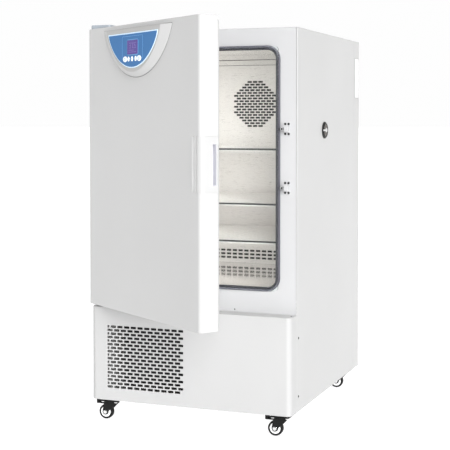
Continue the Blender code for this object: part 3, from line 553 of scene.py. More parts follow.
BLUE = look("blue_film", (0.026, 0.135, 0.340), (0.034, 0.155, 0.375), (0.40, 0.48), relief=0.02,
            Specular_IOR_Level=0.35, **PRINTED)
PALE_BLUE = look("printed_outline", (0.62, 0.80, 0.95), (0.68, 0.84, 0.97), (0.28, 0.36), **PRINTED)
LINE_BLUE = look("printed_line", (0.11, 0.30, 0.60), (0.14, 0.34, 0.65), (0.28, 0.36), **PRINTED)
KEY = look("key_cap", (0.88, 0.94, 0.98), (0.92, 0.96, 1.0), (0.28, 0.36), **PRINTED)
KEY_MARK = look("key_mark", (0.05, 0.20, 0.42), (0.07, 0.24, 0.48), (0.30, 0.40), **PRINTED)
GLASS = look("clear_glass", (0.93, 0.97, 0.955), (0.955, 0.985, 0.97), (0.0, 0.03), drift=1.4, grain=9.0,
             relief=0.0, Transmission_Weight=1.0, IOR=1.45)
DISPLAY = look("display_glow", (0.030, 0.020, 0.15), (0.045, 0.028, 0.19), (0.20, 0.26), drift=20.0,
               grain=1400.0, relief=0.0, Emission_Color=(0.20, 0.09, 0.55, 1.0), Emission_Strength=0.16)
DIGITS = look("display_digits", (0.14, 0.09, 0.36), (0.17, 0.11, 0.40), (0.20, 0.30), grain=1500.0)


# ---- screws ----
def screw_head(radius, height):
    """A domed head facing -Y with a cross recess; it stands on y = 0."""
    profile = [(0.0, 0.0), (radius * 0.96, 0.0), (radius, -height * 0.25)]
    profile += [(radius * c, -height * (0.25 + 0.75 * s)) for s, c in quarter(4)[1:]]
    arm, half_w = radius * 0.62, radius * 0.13
    cross = [block((-half_x, -height - 0.001, -half_z), (half_x, -height * 0.55, half_z))
             for half_x, half_z in ((arm, half_w), (half_w, arm))]
    return carve(turned(profile, 20), cross)


FLIP_Y = Matrix.Scale(-1, 4, (0, 1, 0))
FACING = {"-Y": Matrix.Identity(4), "+Y": Matrix.Rotation(math.pi, 4, "Z"),
          "+X": Matrix.Rotation(math.pi / 2, 4, "Z"), "-X": Matrix.Rotation(-math.pi / 2, 4, "Z"),
          "+Z": Matrix.Rotation(-math.pi / 2, 4, "X")}
SCREW = screw_head(0.0040, 0.0018)
SMALL_SCREW = screw_head(0.0024, 0.0013)


def screws(name, places, facing, head=SCREW, finish=DARK_SCREW):
    """A group of screw heads on the cabinet at the given points, all facing one way."""
    meshes = [moved(head, Vector(point), FACING[facing]) for point in places]
    return piece(name, joined(meshes), finish, "cabinet", smooth=40)


# ---- cabinet ----
def cabinet_panels():
    """Sides, top, front frame and base, with the screws that hold the lower cover at its sides."""
    # The sides take the darker copy of the white coat: painted shade.
    dress("right_side_panel", SIDE_PAINT_SHADED, 0.0005)
    dress("left_side_panel", SIDE_PAINT_SHADED, 0.0005)
    dress("top_panel", WHITE_PAINT, 0.0004)
    dress("front_frame", WHITE_PAINT, 0.0008)
    dress("base_plate", ZINC)
    low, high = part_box("right_side_panel")
    left_face = 2 * centre("top_panel").x - high.x
    for side, x, facing in (("right", high.x, "+X"), ("left", left_face, "-X")):
        screws(f"{side}_cover_screws", [(x, low.y + 0.016, z) for z in COVER_SCREWS_Z], facing)


def front_details():
    """The small fixings on the front frame above the lower cover."""
    low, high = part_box("front_frame")
    cover_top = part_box("lower_front_cover")[1].z
    on_frame = (high.x - 0.2136, low.y, cover_top + 0.0075)
    on_ledge = (high.x - 0.0050, low.y - 0.033, cover_top)
    screws("frame_screw", [on_frame], "-Y", head=SMALL_SCREW)
    screws("ledge_screw", [on_ledge], "+Z", head=SMALL_SCREW)


def lower_cover():
    """Folded sheet with round front corners, a top ledge and rows of slots in front of the condenser."""
    low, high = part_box("lower_front_cover")
    radius, ledge_bend = 0.018, 0.003
    top = high.z - ledge_bend
    sheet = Channel(high.x - low.x, high.y - low.y, radius, 8)

    def place(u, v, inset=0.0):
        across, out = sheet.point(u, inset)
        return (low.x + across, high.y - out, v)

    outline = [(0.0, low.z), (sheet.length, low.z), (sheet.length, top)]
    outline += [(u, top) for u in reversed(sheet.bends)] + [(0.0, top)]
    edge = sheet.web[0] - radius
    left, right = edge + GRILLE["left"], edge + GRILLE["right"]
    step = (GRILLE["top"] - GRILLE["bottom"]) / (GRILLE["rows"] - 1)
    holes = []
    for row in range(GRILLE["rows"]):
        z = low.z + GRILLE["bottom"] + row * step
        holes += brick_row(left, right, z, GRILLE_PITCH, GRILLE_SLOT, row % 2 == 1)
    bm = sheet_with_holes(outline, holes, place, [((u, low.z), (u, top)) for u in sheet.bends])
    stations = [0.0, *sheet.bends, sheet.length]
    rings = [[bm.verts.new(place(u, top + ledge_bend * s, ledge_bend * (1 - c))) for u in stations]
             for s, c in quarter(4)]
    for lower, upper in zip(rings, rings[1:]):
        for i in range(len(stations) - 1):
            bm.faces.new((lower[i], lower[i + 1], upper[i + 1], upper[i]))
    bm.faces.new(rings[-1])
    bmesh.ops.remove_doubles(bm, verts=bm.verts, dist=1e-6)
    mesh = thickened(face_towards(to_mesh(bm), (0, -1, 0)), SHEET)
    # The cover takes the darker copy of the white coat: painted shade.
    piece("lower_cover_shell", mesh, COVER_PAINT_SHADED, "cabinet", ["lower_front_cover"], smooth=40)


def rear_panel():
    """Back panel with returns at both sides and rows of louvre slots, left whole behind the mains inlet."""
    low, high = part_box("back_panel")
    bend = 0.002
    sheet = Channel(high.x - low.x, high.y - low.y, bend, 4)

    def place(u, v):
        across, out = sheet.point(u)
        return (low.x + across, low.y + out, v)

    outline = rectangle((0, low.z), (sheet.length, high.z))
    flat_start = sheet.web[0] - (low.x + bend)
    holes = []
    for row in range(LOUVRE["rows"]):
        z = LOUVRE["first"][1] + row * LOUVRE["pitch"][1]
        for column in range(LOUVRE["columns"]):
            x = low.x + LOUVRE["first"][0] + column * LOUVRE["pitch"][0]
            behind_inlet = x > INLET_ZONE[0] and z < INLET_ZONE[1]
            if not behind_inlet:
                holes.append(slot_outline(x + flat_start, z, *LOUVRE_HALF, 3))
    bm = sheet_with_holes(outline, holes, place, [((u, low.z), (u, high.z)) for u in sheet.bends])
    mesh = thickened(face_towards(to_mesh(bm), (0, 1, 0)), SHEET)
    piece("rear_panel_shell", mesh, SIDE_PAINT_SHADED, "cabinet", ["back_panel"], smooth=40)
    margin = 0.020
    points = [(x, high.y, z) for x in (low.x + margin, 0.0, high.x - margin)
              for z in (low.z + margin, *REAR_SCREWS_Z, high.z - margin)]
    screws("rear_panel_screws", points, "+Y")


def blank_label():
    """The blank plate near the rear edge of the right side, with a dark ring round its foot as painted shade.
    """
    low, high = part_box("rating_plate")
    outline = outline_of(low, high, 0.003, 4, "X")
    piece("blank_label", crown(outline, low.x, high.x, 0.0004, "X", 2), LABEL, "cabinet",
          ["rating_plate"])
    edge = [(-0.0016, low.x), (-0.0016, low.x + 0.0006), (-0.0001, low.x + 0.0006), (-0.0001, low.x)]
    piece("label_edge_shade", ring_sweep(outline, edge, "X"), LABEL_EDGE_SHADE, "cabinet")


def power_socket():
    """Mains inlet with its recess, pins and two screws."""
    low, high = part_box("power_inlet")
    mid = centre("power_inlet")
    half_x, half_z, pin_half_x, pin_half_z = 0.013, 0.010, 0.001, 0.003
    base = crown(outline_of(low, high, 0.004, 4), low.y, high.y, 0.0010, "Y", 3)
    recess = block((mid.x - half_x, low.y + 0.0012, mid.z - half_z),
                   (mid.x + half_x, high.y + 0.01, mid.z + half_z), 0.004)
    piece("inlet_body", carve(base, [recess]), BLACK_PLASTIC, "cabinet", ["power_inlet"])
    pins = [block((mid.x + x - pin_half_x, low.y + 0.001, mid.z + z - pin_half_z),
                  (mid.x + x + pin_half_x, high.y - 0.0004, mid.z + z + pin_half_z), 0.0004, edge=0.0003)
            for x, z in ((-0.007, -0.002), (0.0, 0.003), (0.007, -0.002))]
    piece("inlet_pins", joined(pins), CHROME, "cabinet")
    places = [(mid.x + x, high.y - 0.0006, mid.z) for x in (-0.0215, 0.0215)]
    screws("inlet_screws", places, "+Y", head=SMALL_SCREW)


def side_seat(node):
    """The middle of the inner face of a round fitting on the right side."""
    low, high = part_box(node)
    return Vector((low.x, (low.y + high.y) / 2, (low.z + high.z) / 2))


def side_port():
    """Cable port: a black collar with notches round its mouth, and its stopper."""
    low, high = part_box("side_port")
    outer = (high.z - low.z) / 2
    inner = outer - 0.0068
    depth = high.x - low.x - 0.0030
    middle = side_seat("side_port")
    profile = [(inner, 0.0), (outer, 0.0), (outer, 0.0030), (outer - 0.0012, 0.0042),
               (outer - 0.0030, 0.0046), (outer - 0.0038, depth - 0.0016), (outer - 0.0050, depth),
               (inner + 0.0008, depth), (inner, depth - 0.0008)]
    notches, notch_ring = [], outer - 0.0034
    for i in range(12):
        angle = 2 * math.pi * i / 12
        spot = Vector((0.0050, math.cos(angle) * notch_ring, math.sin(angle) * notch_ring))
        notches.append(moved(rod(0.0022, 0, 0.02, 12, "X"), middle + spot))
    collar = carve(moved(turned(profile, 48, "X"), middle), [joined(notches)])
    piece("port_collar", collar, BLACK_PLASTIC, "cabinet", ["side_port"])
    port_stopper(outer)


def port_stopper(collar_radius):
    """The port's plug with slots round it, and a grip with a boss and a bar out to one side."""
    low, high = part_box("port_plug")
    radius, depth = (high.z - low.z) / 2, high.x - low.x
    middle = side_seat("port_plug")
    profile = [(0, 0), (radius - 0.002, 0), (radius, 0.002), (radius, depth - 0.0040),
               (radius - 0.0020, depth - 0.0024), (0, depth - 0.0024)]
    slots = []
    for i in range(8):
        turn = Matrix.Rotation(2 * math.pi * (i + 0.5) / 8, 4, "X")
        slot = block((depth - 0.0050, 0.0090, -0.0028), (depth + 0.01, radius - 0.0035, 0.0028), 0.0015, "X")
        slots.append(moved(slot, middle, turn))
    plug = carve(moved(turned(profile, 40, "X"), middle), slots)
    piece("port_stopper", plug, STOPPER, "cabinet", ["port_plug"])
    bar = block((0.0074, -collar_radius - 0.0090, -0.0030), (0.0097, 0.0080, 0.0030), 0.0028, "X", 0.0008)
    boss = turned([(0, 0.0050), (0.0075, 0.0050), (0.0075, 0.0088), (0.0066, 0.0095), (0, 0.0095)], 24, "X")
    piece("port_grip", moved(carve(bar, [boss], "UNION"), middle), HANDLE, "cabinet")


def catches():
    """Catches for the glass door: a plate with four screws, a body, a knob and a tongue over the seal."""
    for node in ("upper_catch", "lower_catch"):
        low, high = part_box(node)
        z = (low.z + high.z) / 2
        axis_x, back = low.x + 0.0090, high.y
        seat = back - 0.0032
        plate = block((axis_x - 0.0045, seat, low.z), (high.x, back, high.z), 0.004, "Y", 0.0007)
        piece(f"{node}_plate", plate, WHITE_PAINT, "cabinet", [node])
        body = block((axis_x + 0.0062, low.y + 0.0035, z - 0.0100),
                     (high.x - 0.0022, back - 0.0030, z + 0.0100), 0.0030, "Y", 0.0016)
        piece(f"{node}_body", body, WHITE_PAINT, "cabinet")
        arm = block((low.x, low.y + 0.0045, z - 0.0040), (axis_x + 0.007, low.y + 0.0105, z + 0.0040),
                    0.0015, "Y", 0.0008)
        piece(f"{node}_tongue", arm, DARK_SCREW, "cabinet")
        rim = [(0.0034, 0.0), (0.0055, 0.0), (0.0055, 0.0165), (0.0044, 0.0178), (0.0034, 0.0170)]
        core = [(0, 0.0), (0.0033, 0.0), (0.0033, 0.0168), (0.0020, 0.0176), (0, 0.0178)]
        for part, profile, segments, finish in (("knob", rim, 28, ZINC), ("core", core, 20, DARK_SCREW)):
            mesh = moved(turned(profile, segments), (axis_x, seat, z), FLIP_Y)
            piece(f"{node}_{part}", mesh, finish, "cabinet", smooth=40)
        spread_x, spread_z = 0.0118, 0.0163
        places = [(high.x - 0.0040 - dx, seat, z + dz) for dx in (0.0, spread_x)
                  for dz in (-spread_z, spread_z)]
        screws(f"{node}_screws", places, "-Y")


def hinges():
    """Both brackets, and the hollow cap over the upper one."""
    dress("upper_hinge_bracket", ZINC, 0.0004)
    dress("lower_hinge_bracket", ZINC, 0.0004)
    low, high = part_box("hinge_cover")
    shell = crown(outline_of(low, high, 0.008, 6, "Z"), low.z + 0.0006, high.z, 0.0035, "Z", 5)
    room = outline_of(low + Vector((0.0022, 0.004, 0)), high - Vector((0.0244, 0.003, 0)), 0.004, 4, "Z")
    hollow = crown(room, low.z - 0.01, high.z - 0.0088, 0.0005, "Z", 2)
    piece("hinge_cap", carve(shell, [hollow]), HINGE_PLASTIC, "cabinet", ["hinge_cover"])


# ---- chamber ----
def chamber():
    """Deep-drawn stainless liner with round corners; its walls behind the duct are dark, as painted shade."""
    low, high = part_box("chamber_liner")
    back, corner = high.y - SHEET, 0.012
    duct_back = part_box("duct_panel")[1].y + 0.002
    wall = Vector((SHEET, 0.0, SHEET))
    outline = outline_of(low + wall, high - wall, CHAMBER_R, 8)
    rings = [(0.0, low.y), (0.0, duct_back)]
    rings += [(corner * (1 - c), back - corner * (1 - s)) for s, c in quarter(4)]
    pan = loft(outline, rings, caps=(False, True))
    face_inwards(pan)
    pan = thickened(pan, THIN_SHEET)
    pan.materials.append(LINER_STEEL)
    pan.materials.append(DARK_FINS_AND_SHADE)
    # Faces behind the duct panel take the dark tone: painted shade seen through the slots.
    for face in pan.polygons:
        if face.center.y > duct_back:
            face.material_index = 1
    piece("chamber_walls", pan, LINER_STEEL, "cabinet", ["chamber_liner"], smooth=40)
    dress("cabinet_insulation", WOOL)
    chamber_seal()


def chamber_seal():
    """The ring seal round the chamber's mouth: a bulb, and a lip inside it."""
    low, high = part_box("chamber_gasket")
    face, back = low.y, high.y
    outline = outline_of(low, high, CHAMBER_R + 0.015, 12)
    bulb = [(0.0002, back), (0.0, back - 0.0030), (0.0008, face + 0.0022), (0.0022, face + 0.0006),
            (0.0042, face), (0.0062, face + 0.0006), (0.0074, face + 0.0022), (0.0080, back - 0.0030),
            (0.0080, back)]
    lip = [(0.0084, back), (0.0084, back - 0.0034), (0.0094, face + 0.0034), (0.0112, face + 0.0024),
           (0.0132, face + 0.0034), (0.0146, back - 0.0036), (0.0150, back)]
    piece("seal_bulb", ring_sweep(outline, bulb), SEAL, "cabinet", ["chamber_gasket"], 50)
    piece("seal_lip", ring_sweep(outline, lip), SEAL_DARK, "cabinet", smooth=50)


def face_inwards(mesh):
    """Turns the faces of a pan towards its inside, so that its thickness goes outwards."""
    middle = Vector([sum(v.co[i] for v in mesh.vertices) / len(mesh.vertices) for i in range(3)])
    wall = max(mesh.polygons, key=lambda face: face.area)
    if wall.normal.dot(middle - wall.center) < 0:
        mesh.flip_normals()


def duct_panel():
    """Perforated air duct panel: a round brick-pattern guard and rows of slots above the floor."""
    low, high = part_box("duct_panel")
    mid_x = (low.x + high.x) / 2
    round_foot = [p for p in rounded((low.x, low.z), (high.x, high.z + 0.05), CHAMBER_R, 0.0, 8)
                  if p[1] < low.z + 0.05]
    outline = [(low.x, high.z), *round_foot, (high.x, high.z)]
    holes = []
    rows = int(GUARD_R / GUARD_ROW)
    for row in range(-rows, rows + 1):
        shift = GUARD_PITCH / 2 if row % 2 else 0.0
        for column in range(-5, 6):
            x, z = column * GUARD_PITCH + shift, row * GUARD_ROW
            if math.hypot(x, z) < GUARD_R - GUARD_SLOT[0] * 0.30:
                holes.append(slot_outline(mid_x + x, GUARD_Z + z, GUARD_SLOT[0] / 2, GUARD_SLOT[1] / 2, 3))
    margin = 0.028
    for z in FLOOR_SLOTS_Z:
        holes += brick_row(low.x + margin, high.x - margin, z, FLOOR_SLOT_PITCH, FLOOR_SLOT, False)
    bm = sheet_with_holes(outline, holes, lambda u, v: (u, low.y, v))
    flange = rectangle((low.x, low.y), (high.x, low.y + 0.012))
    bm.faces.new([bm.verts.new((x, y, high.z)) for x, y in flange])
    bmesh.ops.remove_doubles(bm, verts=bm.verts, dist=1e-6)
    mesh = thickened(face_towards(to_mesh(bm), (0, -1, 0)), THIN_SHEET)
    piece("air_duct_panel", mesh, STAINLESS, "cabinet", ["duct_panel"], smooth=30)
    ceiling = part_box("chamber_liner")[1].z - SHEET
    strip = block((low.x + margin, low.y, high.z + 0.0016),
                  (high.x - margin, low.y + 0.0012, ceiling - 0.0012), 0.0005)
    piece("duct_closing_strip", strip, STAINLESS, "cabinet")
    points = [(x, low.y, z) for x in (low.x + 0.014, high.x - 0.014) for z in (high.z - 0.02, *DUCT_SCREWS_Z)]
    screws("duct_screws", points, "-Y", finish=CHROME, head=SMALL_SCREW)


def shelves():
    """Perforated trays with folded front and rear edges, on angle rails."""
    dress("left_shelf_rails", STAINLESS, 0.0004)
    dress("right_shelf_rails", STAINLESS, 0.0004)
    low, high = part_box("upper_shelf")
    sheet = Channel(high.y - low.y, high.z - low.z, 0.002, 4)

    def place(u, v):
        across, out = sheet.point(v)
        return (u, low.y + across, low.z + out)

    outline = rectangle((low.x, 0), (high.x, sheet.length))
    first, last = sheet.web[0] + 0.028, sheet.web[1] - 0.028
    holes = []
    for row in range(TRAY_ROWS):
        v = first + row * (last - first) / (TRAY_ROWS - 1)
        holes += brick_row(low.x + 0.030, high.x - 0.030, v, TRAY_SLOT_PITCH, TRAY_SLOT, row % 2 == 1)
    bm = sheet_with_holes(outline, holes, place, [((low.x, v), (high.x, v)) for v in sheet.bends])
    tray = thickened(face_towards(to_mesh(bm), (0, 0, 1)), THIN_SHEET)
    # The front bars take the nearly black steel: painted shade on the trays' front edges.
    front_bar = block((low.x, low.y - 0.0004, low.z + 0.0030),
                      (high.x, low.y + 0.0030, high.z - 0.0006), 0.001, "X", 0.0004)
    for node in ("upper_shelf", "middle_shelf", "lower_shelf"):
        drop = Matrix.Translation((0, 0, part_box(node)[1].z - high.z))
        piece(f"{node}_tray", tray, STAINLESS, "cabinet", [node], place=drop, smooth=40)
        piece(f"{node}_front_bar", front_bar, SHELF_EDGE_SHADE, "cabinet", place=drop, smooth=40)


def glass_door():
    """Clear pane, which casts no shadow, and its hinge strip."""
    dress("glass_door_pane", GLASS, 0.0010)
    NODES["glass_door_pane"].visible_shadow = False
    dress("glass_hinge_strip", ALUMINIUM, 0.0005)


def hidden_works():
    """Machine parts behind the panels and the duct; the fins, fans and fan motor are dark partly as painted
    shade.
    """
    # Dark finishes here are partly their own coating and partly painted shade, so the slots in front read
    # dark.
    for node in ("evaporator", "condenser"):
        dress(node, DARK_FINS_AND_SHADE, smooth=False)
    for node in ("circulation_fan", "condenser_fan"):
        dress(node, BLACK_PLASTIC, 0.0005)
    dress("circulation_fan_motor", BLACK_STEEL, 0.001)
    dress("compressor", BLACK_STEEL)
    dress("electrical_box", GREY_PLASTIC, 0.001)


# ---- outer door ----
def door_plan(low, high, inset):
    """Plan outline of the door's sheet, from the rear left hem round the front to the rear right hem."""
    radius, corner, hem = 0.014, 0.0015, 0.012
    x0, x1 = low.x + inset, high.x - inset
    front, back = low.y + inset, high.y
    points = [(x0 + hem, back)]
    points += arc((x0 + corner, back - corner), corner, 90, 180, 3)
    points += arc((x0 + radius, front + radius), radius, 180, 270, 10)
    points += arc((x1 - radius, front + radius), radius, 270, 360, 10)
    points += arc((x1 - corner, back - corner), corner, 0, 90, 3)
    points.append((x1 - hem, back))
    return points


def bowed_edge(left, step):
    """Left edge of the handle's front band, bowed outwards at mid height."""
    return left + BAND_INSET - BAND_BOW * math.sin(math.pi * step / BOW_STEPS)


def door_shell():
    """The door's outer sheet, notched for the handle and drilled for the hinge pins."""
    low, high = door_box("door_skin")
    edge = 0.0030
    levels = [(edge * (1 - s), low.z + edge * (1 - c)) for s, c in quarter(5)]
    levels += [(edge * (1 - c), high.z - edge * (1 - s)) for s, c in quarter(5)]
    rings = [[(x, y, z) for x, y in door_plan(low, high, inset)] for inset, z in levels]
    shell = face_towards(skin(rings, closed=False), (0, -1, 0))
    grip_low, grip_high = door_box("door_handle")
    front, right, back = low.y - 0.05, high.x + 0.05, high.y - 0.004 + GAP
    rings = []
    for i in range(BOW_STEPS + 1):
        left = bowed_edge(grip_low.x, i) - GAP
        z = grip_low.z - GAP + (grip_high.z - grip_low.z + 2 * GAP) * i / BOW_STEPS
        rings.append([(left, front, z), (right, front, z), (right, back, z), (left, back, z)])
    pins = rod(0.0045, low.z - 0.02, high.z + 0.02, 20, "Z")
    shell = carve(thickened(shell, DOOR_SHEET), [skin(rings), pins])
    piece("door_outer_shell", shell, DOOR_PAINT, "door", ["door_skin"], 30)


def door_inside():
    """Vacuum-formed liner with a dished field, and the magnetic seal round it."""
    low, high = door_box("door_liner")
    deep, face = low.y + SHEET, high.y
    flange, latch_shift = 0.0238, 0.0050
    flat_flange = [(0.0, face - 0.0010), (0.0004, face - 0.0003), (0.0014, face)]
    dish = [(flange - 0.003, face), (flange - 0.0010, face - 0.0006), (flange, face - 0.0022),
            (flange + 0.0020, deep + 0.0060), (flange + 0.0040, deep + 0.0020), (flange + 0.0080, deep),
            (0.060, deep), (0.062, deep + 0.0010), (0.066, deep + 0.0016), (0.084, deep + 0.0016),
            (0.088, deep + 0.0010), (0.090, deep)]
    further = high + Vector((latch_shift, 0.0, 0.0))
    rings = []
    for profile, outline in ((flat_flange, outline_of(low, high, 0.010, 8)),
                             (dish, outline_of(low, further, 0.030, 8))):
        rings += [[lay(p, "Y", y) for p in outline(inset)] for inset, y in profile]
    pan = skin(rings, caps=(False, True))
    pan = thickened(face_towards(pan, (0, 1, 0)), SHEET)
    piece("door_inner_liner", pan, LINER_PLASTIC, "door", ["door_liner"], 40)
    dress("door_insulation", WOOL)
    low, high = door_box("door_gasket")
    back, tip = low.y, high.y
    profile = [(0.0010, back), (0.0010, back + 0.0018), (0.0, back + 0.0030), (0.0, tip - 0.0010),
               (0.0010, tip), (0.0120, tip), (0.0130, tip - 0.0010), (0.0130, tip - 0.0028),
               (0.0105, back + 0.0030), (0.0120, back + 0.0016), (0.0120, back)]
    seal = ring_sweep(outline_of(low, high, 0.012), profile)
    piece("door_seal_ring", seal, DOOR_SEAL, "door", ["door_gasket"], 40)


def handle_section(low, right, back, flat, band_end, step):
    """One level of the grip in plan: a bulged front band, two grooves, the round edge and the rear corner."""
    t = step / BOW_STEPS
    rise = min(1.0, 6.0 * min(t, 1 - t)) ** 0.5
    bulge = BAND_BULGE * (0.35 + 0.65 * rise)
    radius, rear_radius = 0.0165, 0.0020
    inner_x, inner_y, left = low.x + 0.0336, flat + 0.012, bowed_edge(low.x, step)
    points = [(inner_x, back), (inner_x, inner_y), (left, inner_y), (left, flat + 0.0006)]
    for k in range(9):
        points.append((left + (band_end - left) * k / 8, flat - bulge * math.sin(math.pi * k / 8) ** 0.6))
    for groove in (band_end + 0.0004, band_end + 0.0158):
        points += [(groove, flat), (groove + 0.0002, flat + GROOVE_DEPTH),
                   (groove + 0.0024, flat + GROOVE_DEPTH), (groove + 0.0026, flat)]
    points += arc((right - radius, flat + radius - 0.0010), radius - 0.0002, 272, 360, 12)
    points += arc((right - 0.0022, back - rear_radius), rear_radius, 0, 90, 3)
    return points


def handle():
    """Grip moulding round the door's edge: a bowed front band, two grooves and a finger pocket."""
    low, high = door_box("door_handle")
    pocket_low, pocket_high = door_box("handle_insert")
    room = Vector((GAP, GAP, GAP))
    flat, band_end = low.y + BAND_BULGE, low.x + 0.0158
    grooves_end = band_end + 0.022
    rings = []
    for step in range(BOW_STEPS + 1):
        z = low.z + (high.z - low.z) * step / BOW_STEPS
        rings.append([(x, y, z) for x, y in handle_section(low, high.x, high.y, flat, band_end, step)])
    pocket = block(pocket_low - room, (high.x + 0.02, pocket_high.y + GAP, pocket_high.z + GAP), 0.0028, "X")
    mid_z, half_seam = (low.z + high.z) / 2, 0.0004
    seam = block((low.x - 0.01, low.y - 0.01, mid_z - half_seam),
                 (high.x - 0.016, low.y + 0.0030, mid_z + half_seam))
    grip = carve(skin(rings), [pocket, seam])
    for finish in (HANDLE, HANDLE_FRONT_LIT, GROOVE_SHADE):
        grip.materials.append(finish)
    for face in grip.polygons:
        # Faces looking straight ahead take the lighter copy of the moulding: painted light.
        if face.normal.y < -0.94:
            face.material_index = 1
        # Groove bottoms take the dark tone: painted shade in the grooves.
        if flat + 0.0010 < face.center.y < flat + 0.0020 and face.center.x < grooves_end:
            face.material_index = 2
    moulding = piece("handle_moulding", grip, HANDLE, "door", ["door_handle"])
    soften(moulding, 0.0007, 50)
    wall = 0.0011
    cup = block(pocket_low, (high.x - 0.0003, pocket_high.y, pocket_high.z), 0.0026, "X", 0.0002)
    inside = block(pocket_low + Vector((wall, wall, wall)),
                   (high.x + 0.01, pocket_high.y - wall, pocket_high.z - wall), 0.0018, "X")
    piece("handle_pocket_cup", carve(cup, [inside]), PALE_PLASTIC, "door", ["handle_insert"])


def key_outline(node, margin=0.0):
    """A key's oval outline as a function of the inset."""
    low, high = door_box(node)
    mid, half = (low + high) / 2, (high - low) / 2
    return lambda inset: oval((mid.x, mid.z), (half.x + margin, half.z + margin), inset)


def control_panel():
    """Raised half-oval bezel with a printed film, a lit display and wells for the five keys."""
    low, high = door_box("control_bezel")
    wells = []
    for node in KEYS:
        well_floor = door_box(node)[1].y + 0.0016
        wells.append(crown(key_outline(node, 0.0005), low.y - 0.01, well_floor, 0.0002))
    bezel(low, high, wells)
    film(low, high, wells)
    display()
    printed_line(wells)


def bezel(low, high, wells):
    """The raised moulding: its slope from the foot to the rim, and the shallow seat of the film."""
    back, face = high.y, low.y
    mid_x = (low.x + high.x) / 2
    film_low, film_high = door_box("control_membrane")
    rings = []
    for t, level in ((0.0, 0.0), (0.01, 0.10), (0.04, 0.17), (0.20, 0.33), (0.50, 0.60), (0.80, 0.86),
                     (0.94, 0.97), (1.0, 1.0)):
        outline = tongue_round(mid_x, low, high, -0.043 * t, -0.0165 * t, -0.001 * t)
        rings.append([lay(p, "Y", back + (face - back) * level) for p in outline(0.0)])
    shelf = tongue_round(mid_x, film_low, film_high, 0.0065, 0.0095, 0.0050)
    sunk = tongue_round(mid_x, film_low, film_high, 0.0055, 0.0080, 0.0040)
    rings += [[lay(p, "Y", face) for p in shelf(0.0)], [lay(p, "Y", face + 0.0006) for p in sunk(0.0)]]
    # A thin dark ring round the bezel's foot: painted shade for the shadow line at its edge.
    joint = [(-0.0022, back), (-0.0022, back - 0.0005), (0.0006, back - 0.0005), (0.0006, back)]
    piece("bezel_foot_shade", ring_sweep(tongue_round(mid_x, low, high), joint), BEZEL_FOOT_SHADE, "door")
    mesh = carve(skin(rings), wells)
    mesh.materials.append(HANDLE)
    mesh.materials.append(BEZEL_FACE_SHADED)
    # Lit and shaded copies of one moulding: the front face takes the darker tone and the flank the lighter
    # white, painted light and shade.
    for polygon in mesh.polygons:
        polygon.material_index = 1 if polygon.normal.y < -0.99 else 0
    piece("panel_bezel", mesh, HANDLE, "door", ["control_bezel"], 18)


def film(low, high, wells):
    """The blue printed film and its pale raised border."""
    face, mid_x = low.y, (low.x + high.x) / 2
    film_low, film_high = door_box("control_membrane")
    border = [(0.0, face + 0.0005), (0.0, face - 0.0003), (0.0008, face - 0.0010), (0.0040, face - 0.0012),
              (0.0046, face - 0.0004), (0.0046, face + 0.0005)]
    outline = tongue_round(mid_x, film_low, film_high, 0.0048, 0.0066, 0.0036)
    piece("film_border", ring_sweep(outline, border), PALE_BLUE, "door")
    sheet = crown(tongue_round(mid_x, film_low, film_high), face + 0.0004, film_low.y, 0.0004, "Y", 2)
    piece("printed_film", carve(sheet, wells), BLUE, "door", ["control_membrane"], 30)


def display():
    """The lit window, the printed surround and the figures."""
    front = door_box("control_membrane")[0].y
    low, high = door_box("display_window")
    window = crown(outline_of(low, high, 0.0020, 3), front - 0.0001, low.y, 0.0004, "Y", 2)
    piece("display_panel", window, DISPLAY, "door", ["display_window"])
    surround = [(-0.0026, front + 0.0002), (-0.0026, front - 0.0005), (-0.0004, front - 0.0005),
                (-0.0004, front + 0.0002)]
    piece("display_surround", ring_sweep(outline_of(low, high, 0.0045, 3), surround), LINE_BLUE, "door")
    digits(low, high)


def printed_line(wells):
    """The thin printed line round the display and the keys; it stops at the key wells."""
    film_low, film_high = door_box("control_membrane")
    low, high = door_box("display_window")
    front, mid_x = film_low.y, (low.x + high.x) / 2
    line = rectangle((0.0, front - 0.00025), (0.0011, front + 0.0002))
    line_low = Vector((mid_x - 0.068, 0.0, low.z - 0.0140))
    line_high = Vector((mid_x + 0.064, 0.0, film_high.z - 0.0070))
    ring = ring_sweep(outline_of(line_low, line_high, 0.003, 3), line)
    piece("printed_frame", carve(ring, wells), LINE_BLUE, "door")


def digits(low, high):
    """Generic figures on the display as seven-segment bars, over two plain bars."""
    width, height, stroke, deep = 0.0085, 0.0155, 0.0015, 0.0003
    face = low.y - 0.00012
    back = face + deep
    segments = {"0": "abcdef", "3": "abcdg", "7": "abc", "5": "acdfg"}
    bars = {"a": (0, 1, 1, 1), "g": (0, 0.5, 1, 0.5), "d": (0, 0, 1, 0), "f": (0, 0.5, 0, 1),
            "b": (1, 0.5, 1, 1), "e": (0, 0, 0, 0.5), "c": (1, 0, 1, 0.5)}
    meshes = []
    start_x, base_z = (low.x + high.x) / 2 - 0.0200, low.z + 0.0200
    for index, figure in enumerate("3705"):
        x0 = start_x + index * (width + 0.0028)
        for name in segments[figure]:
            u0, v0, u1, v1 = bars[name]
            trim = stroke * 0.6 if u0 != u1 else 0.0
            left, right = x0 + u0 * width - stroke / 2 + trim, x0 + u1 * width + stroke / 2 - trim
            foot, top = base_z + v0 * height - stroke / 2, base_z + v1 * height + stroke / 2
            meshes.append(block((left, face, foot), (right, back, top), deep))
    for row in range(2):
        z = low.z + 0.0060 + row * 0.0060
        meshes.append(block((low.x + 0.010, face, z), (high.x - 0.010 - row * 0.014, back, z + 0.0016), deep))
    piece("display_figures", joined(meshes), DIGITS, "door")


